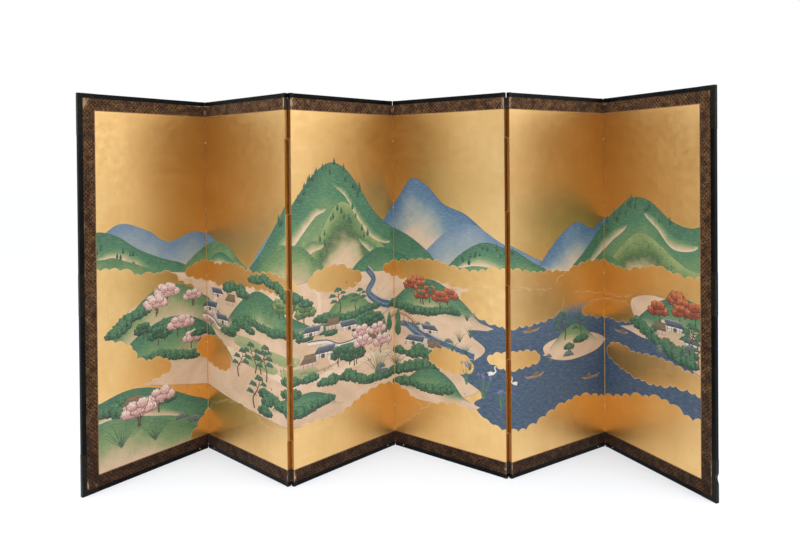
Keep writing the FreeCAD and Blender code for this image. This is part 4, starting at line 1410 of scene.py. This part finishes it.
# Where each panel's brocade has worn through: the place, its reach across and up in millimetres, and how far
WORN_PLACES = [
    [((0, 1690), (30, 50), 1.35), ((20, 1697), (50, 5), 0.9), ((600, 1699), (60, 5), 1.4),
     ((624, 1665), (3, 24), 1.2), ((2, 1150), (5, 62), 1.0), ((2, 945), (4, 70), 0.95), ((2, 310), (6, 28), 0.95),
     ((2, 46), (12, 36), 1.15), ((42, 30), (30, 9), 1.0)],
    [((12, 1699), (40, 4), 1.2), ((0, 1665), (3, 24), 1.2), ((622, 1680), (16, 70), 0.92),
     ((623, 50), (9, 70), 0.95)],
    [((2, 1680), (30, 70), 0.92), ((624, 1676), (3, 22), 1.2), ((2, 50), (17, 70), 0.95)],
    [((0, 1676), (3, 22), 1.2), ((621, 1680), (20, 70), 0.82), ((622, 50), (14, 70), 1.0)],
    [((2, 1680), (18, 70), 0.9), ((2, 50), (11, 70), 0.95), ((622, 1690), (6, 12), 1.1)],
    [((4, 1694), (34, 6), 1.1), ((619, 1688), (8, 32), 1.3), ((600, 1697), (44, 5), 0.8),
     ((622, 140), (7, 90), 1.25), ((620, 52), (8, 50), 1.3)],
]


def worn_at(panel, x, z):
    """How far the brocade is worn at a place, from 0 to 1."""
    worn = 0.0
    for (wx, wz), (wide, tall), most in WORN_PLACES[panel]:
        worn = max(worn, most * (1.15 - math.hypot((x / MM - wx) / wide, (z / MM - wz) / tall)))
    return min(worn, 1.0)


def brocade_borders():
    """The brocade with its worn places and the trim beside the painting, cut fine enough for the wear to show."""
    step = 12 * MM
    for panel, body in enumerate(BODIES):
        mesh = from_node(body + "_brocade", panel)
        for axis, length in ((0, PANEL_WIDTH), (2, SCREEN_HEIGHT)):
            for i in range(1, int(length / step) + 1):
                cut_across(mesh, axis, i * step)
        lay_map(mesh, panel)
        worn = mesh.loops.layers.float.new("worn")
        for face in mesh.faces:
            middle = face.calc_center_median()
            inward = min(middle.z, SCREEN_HEIGHT - middle.z)
            if panel == 0:
                inward = min(inward, middle.x + FRAME_WIDTH)
            if panel == FOLD_COUNT:
                inward = min(inward, PANEL_WIDTH - middle.x + FRAME_WIDTH)
            face.material_index = 1 if inward > FIELD_LOW - TRIM_WIDTH else 0
            for loop in face.loops:
                loop[worn] = worn_at(panel, loop.vert.co.x, loop.vert.co.z)
        finished(body + "_brocade_border", mesh, panel, [BROCADE, TRIM], "brocade", body + "_brocade")


# The painted sheets
def turning(outline):
    """Twice the area of an outline, positive where it runs anticlockwise."""
    return sum(ax * bz - bx * az for (ax, az), (bx, bz) in zip(outline, outline[1:] + outline[:1]))


def crossing(outline):
    """The first two sides of an outline that cross, and where."""
    count = len(outline)
    for i in range(count - 2):
        (ax, az), (bx, bz) = outline[i], outline[i + 1]
        for j in range(i + 2, count - (i == 0)):
            (cx, cz), (dx, dz) = outline[j], outline[(j + 1) % count]
            if (max(ax, bx) < min(cx, dx) or max(cx, dx) < min(ax, bx)
                    or max(az, bz) < min(cz, dz) or max(cz, dz) < min(az, bz)):
                continue
            spread = (bx - ax) * (dz - cz) - (bz - az) * (dx - cx)
            if abs(spread) < 1e-9:
                continue
            s = ((cx - ax) * (dz - cz) - (cz - az) * (dx - cx)) / spread
            t = ((cx - ax) * (bz - az) - (cz - az) * (bx - ax)) / spread
            if 0.0 <= s <= 1.0 and 0.0 <= t <= 1.0:
                return i, j, (ax + s * (bx - ax), az + s * (bz - az))
    return None


def thinned(outline):
    """An outline without the places that the next one all but repeats."""
    return [place for place, after in zip(outline, outline[1:] + outline[:1]) if math.dist(place, after) > 0.02]


def simple(outline):
    """An outline without loops, running anticlockwise."""
    outline = thinned(outline)
    found = crossing(outline)
    while found:
        i, j, place = found
        loop, rest = [place] + outline[i + 1:j + 1], outline[:i + 1] + [place] + outline[j + 1:]
        outline = thinned(loop if abs(turning(loop)) > abs(turning(rest)) else rest)
        found = crossing(outline)
    return outline if turning(outline) > 0 else outline[::-1]


def cut_landscape():
    """Cuts the panels' fields and every painted shape into one flat net of triangles that share their edges."""
    border, low, high = BORDER_WIDTH / MM, FIELD_LOW / MM, FIELD_HIGH / MM
    fields = [box(panel * PANEL_WIDTH / MM + (border if panel == 0 else 0),
                  (panel + 1) * PANEL_WIDTH / MM - (border if panel == FOLD_COUNT else 0), low, high)
              for panel in range(PANEL_COUNT)]
    points, outlines = [], []
    for outline in fields + [simple(outline) for outline, _ in shapes]:
        outlines.append(list(range(len(points), len(points) + len(outline))))
        points.extend(Vector(place) for place in outline)
    # Loose points between the outlines let the washes change softly
    wash = 13.0
    for i in range(1, int(PANEL_COUNT * PANEL_WIDTH / MM / wash)):
        for j in range(int(low / wash) + 1, int(high / wash)):
            points.append(Vector((i * wash + brush.uniform(-3, 3), j * wash + brush.uniform(-3, 3))))
    places, _, faces, _, _, owners = delaunay_2d_cdt(points, [], outlines, 1, 1e-4, True)
    return places, faces, owners


def painted_sheets():
    """A thin painted sheet in front of each panel's picture."""
    paint_landscape()
    places, faces, owners = cut_landscape()
    # Each triangle goes to its panel with the number of the last shape laid over it
    parts = [[] for _ in range(PANEL_COUNT)]
    for face, owner in zip(faces, owners):
        fields = [index for index in owner if index < PANEL_COUNT]
        if fields:
            parts[fields[0]].append((face, max(owner) - PANEL_COUNT))
    bare = even(GOLD_DUST, 0.0)
    for panel, part in enumerate(parts):
        mesh = bmesh.new()
        pigment = mesh.loops.layers.float_color.new("pigment")
        corners = {}
        for face, top in part:
            tone = shapes[top][1] if top >= 0 else bare
            for index in face:
                if index not in corners:
                    x, z = places[index]
                    place = (x * MM - panel * PANEL_WIDTH, SHEET_FRONT - SKIN, z * MM)
                    corners[index] = mesh.verts.new(place)
            made = mesh.faces.new([corners[index] for index in face])
            for loop, index in zip(made.loops, face):
                loop[pigment] = tone(*places[index])
        rim = [edge for edge in mesh.edges if len(edge.link_faces) == 1]
        pushed = bmesh.ops.extrude_edge_only(mesh, edges=rim)["geom"]
        backs = {item for item in pushed if isinstance(item, bmesh.types.BMVert)}
        for corner in backs:
            corner.co.y = SHEET_FRONT
        back_edges = [item for item in pushed
                      if isinstance(item, bmesh.types.BMEdge) and backs.issuperset(item.verts)]
        bmesh.ops.edgeloop_fill(mesh, edges=back_edges)
        bmesh.ops.recalc_face_normals(mesh, faces=mesh.faces)
        lay_map(mesh, panel)
        finished(BODIES[panel] + "_painting", mesh, panel, [GOLD], "gold_leaf_paper")


# Plain sheets
def back_sheets():
    """Printed paper on the backs, between the rails."""
    tall = SCREEN_HEIGHT - 2 * FRAME_WIDTH
    for panel, body in enumerate(BODIES):
        mesh = bmesh.new()
        bmesh.ops.create_cube(mesh, size=1.0)
        for vertex in mesh.verts:
            x, y, z = (part + 0.5 for part in vertex.co)
            vertex.co = (PANEL_WIDTH * x, SHEET_BACK + SKIN * y, FRAME_WIDTH + tall * z)
        lay_map(mesh, panel)
        finished(body + "_back_print", mesh, panel, [BACK_PAPER], "back_paper")


def creases():
    """The round outside of each fold's paper hinge, which closes the joint between its wings and rails."""
    sides, radius = 12, 0.86 * MM
    rail_low, rail_high = FRAME_WIDTH + 1 * MM, SCREEN_HEIGHT - FRAME_WIDTH - 1 * MM
    for fold in range(FOLD_COUNT):
        x, y = fold_joint(fold)["pos_m"][:2]
        top = rail_high + 0.5 * MM if fold in SHORT_CREASES else SCREEN_HEIGHT - 1 * MM
        mesh = bmesh.new()
        rows = []
        for z, share in ((7 * MM, 0.5), (7.4 * MM, 1.0), (rail_low, 1.0), (rail_high, 1.0),
                         (top - 0.4 * MM, 1.0), (top, 0.5)):
            rows.append([mesh.verts.new((x + share * radius * math.cos(math.tau * i / sides),
                                         y + share * radius * math.sin(math.tau * i / sides), z))
                         for i in range(sides)])
        for row, (below, above) in enumerate(zip(rows, rows[1:])):
            for i in range(sides):
                face = mesh.faces.new((below[i], below[(i + 1) % sides], above[(i + 1) % sides], above[i]))
                face.smooth = True
                face.material_index = 0 if row == 2 else 1
        for end in (rows[0][::-1], rows[-1]):
            mesh.faces.new(end).material_index = 1
        mesh.transform(PLACES[fold].inverted())
        lay_map(mesh, fold)
        # The outer folds' creases are painted near black, as the shadow at the back of their gaps
        finished("fold_%d_%d_crease" % (fold + 1, fold + 2), mesh, fold,
                 [SHADOWED_CREASE_PAPER if fold % 2 else INNER_PAPER, METAL], "hinge_paper")


def dress_nodes():
    """Finishes for the CAD pieces that show as they are."""
    for name, node in frame["nodes"].items():
        if name.endswith("_wings"):
            # The outer folds' wings take the gilt paper darkened with painted shade
            material = SHADED_OUTER_WING_PAPER if name.startswith(("fold_2_3", "fold_4_5")) else INNER_PAPER
        elif name.endswith("_core"):
            material = CEDAR
        elif name.endswith(("_picture", "_back_paper")):
            material = EDGE_PAPER
        else:
            continue
        for slot in node.material_slots:
            slot.material = material


# The studio
def studio_floor():
    """A pale floor that shows white to the camera, a gloss or glass, and keeps the screen's soft shadow."""
    finish = Finish("studio_floor")
    seen, gloss, glass = (finish.node("LightPath", {}, "Is %s Ray" % kind)
                          for kind in ("Camera", "Glossy", "Transmission"))
    matt = finish.node("BsdfDiffuse", {"Color": (0.57, 0.60, 0.65)})
    glow = finish.node("Emission", {"Strength": seen.most(gloss).most(glass) * 0.42})
    out = finish.tree.nodes["Material Output"]
    finish.feed(out.inputs["Surface"], finish.node("AddShader", {0: matt, 1: glow}))
    finish.tree.nodes.remove(finish.shader)
    return finish.material


def studio_sheet(name, corners, material, seen):
    """A flat sheet that belongs to the studio and may be seen in glosses only."""
    mesh = bpy.data.meshes.new(name)
    mesh.from_pydata(corners, [], [(0, 1, 2, 3)])
    mesh.materials.append(material)
    piece = stand(name, mesh)
    piece.visible_camera = piece.visible_diffuse = seen


def studio():
    """The floor, what the gold mirrors, and the lamps."""
    half = 40.0
    studio_sheet("floor", [(-half, -half, 0), (half, -half, 0), (half, half, 0), (-half, half, 0)],
                 studio_floor(), True)

    # Only glosses see these: the unlit end of the studio behind the camera, and a grey card at the left
    for name, shade, corners in (
            ("unlit_wall", (0.05, 0.046, 0.043), ((-9, -6, 0), (-9, -6, 9), (9, -6, 9), (9, -6, 0))),
            ("grey_card", (0.45, 0.44, 0.43), ((-9, -6, 0), (-9, -1, 0), (-9, -1, 9), (-9, -6, 9)))):
        matt = Finish(name).set(Base_Color=shade, Roughness=1.0, Specular_IOR_Level=0.0)
        studio_sheet(name, corners, matt, False)

    world = bpy.data.worlds.new("studio")
    bpy.context.scene.world = world
    world.use_nodes = True
    sky = world.node_tree.nodes["Background"]
    sky.inputs["Color"].default_value = (1.0, 1.0, 1.0, 1.0)
    sky.inputs["Strength"].default_value = 1.0

    # The front lamps light the paint and the cloth, the side lamps the gold at the free ends and outer folds
    for name, place, size, power, in_gloss in (("left_front_softbox", (-3.6, -3.4, 2.6), 2.4, 80.0, False),
                                               ("right_front_softbox", (3.6, -3.4, 2.6), 2.4, 80.0, False),
                                               ("top_softbox", (0.0, -1.6, 4.4), 3.0, 20.0, False),
                                               ("left_side_softbox", (-4.8, -1.2, 2.2), 2.4, 18.0, True),
                                               ("right_side_softbox", (4.8, -1.2, 2.2), 2.4, 18.0, True)):
        light = bpy.data.lights.new(name, "AREA")
        light.size, light.energy = size, power
        lamp = stand(name, light)
        lamp.location = place
        lamp.rotation_euler = (Vector((0.0, 0.0, 0.8)) - Vector(place)).to_track_quat("-Z", "Y").to_euler()
        lamp.visible_glossy = in_gloss


def camera():
    """The view of the photograph, fitted to the screen's straight edges."""
    lens = bpy.data.cameras.new("camera")
    lens.sensor_width = 36.0
    lens.lens = 31.035
    lens.shift_x, lens.shift_y = 0.008, -0.1217
    turn = (Matrix.Rotation(math.radians(-0.109), 4, "Z") @ Matrix.Rotation(math.radians(-0.4874), 4, "X")
            @ Matrix.Rotation(math.radians(0.4904), 4, "Y") @ Matrix.Rotation(math.pi / 2, 4, "X"))
    eye = stand("camera", lens)
    eye.matrix_world = Matrix.Translation((0.0025, -3.1374, 1.4077)) @ turn
    bpy.context.scene.camera = eye
    bpy.context.scene.view_settings.view_transform = "Standard"


camera()
studio()
dress_nodes()
frame_pieces()
nails()
brocade_borders()
painted_sheets()
back_sheets()
creases()

bpy.context.view_layer.update()
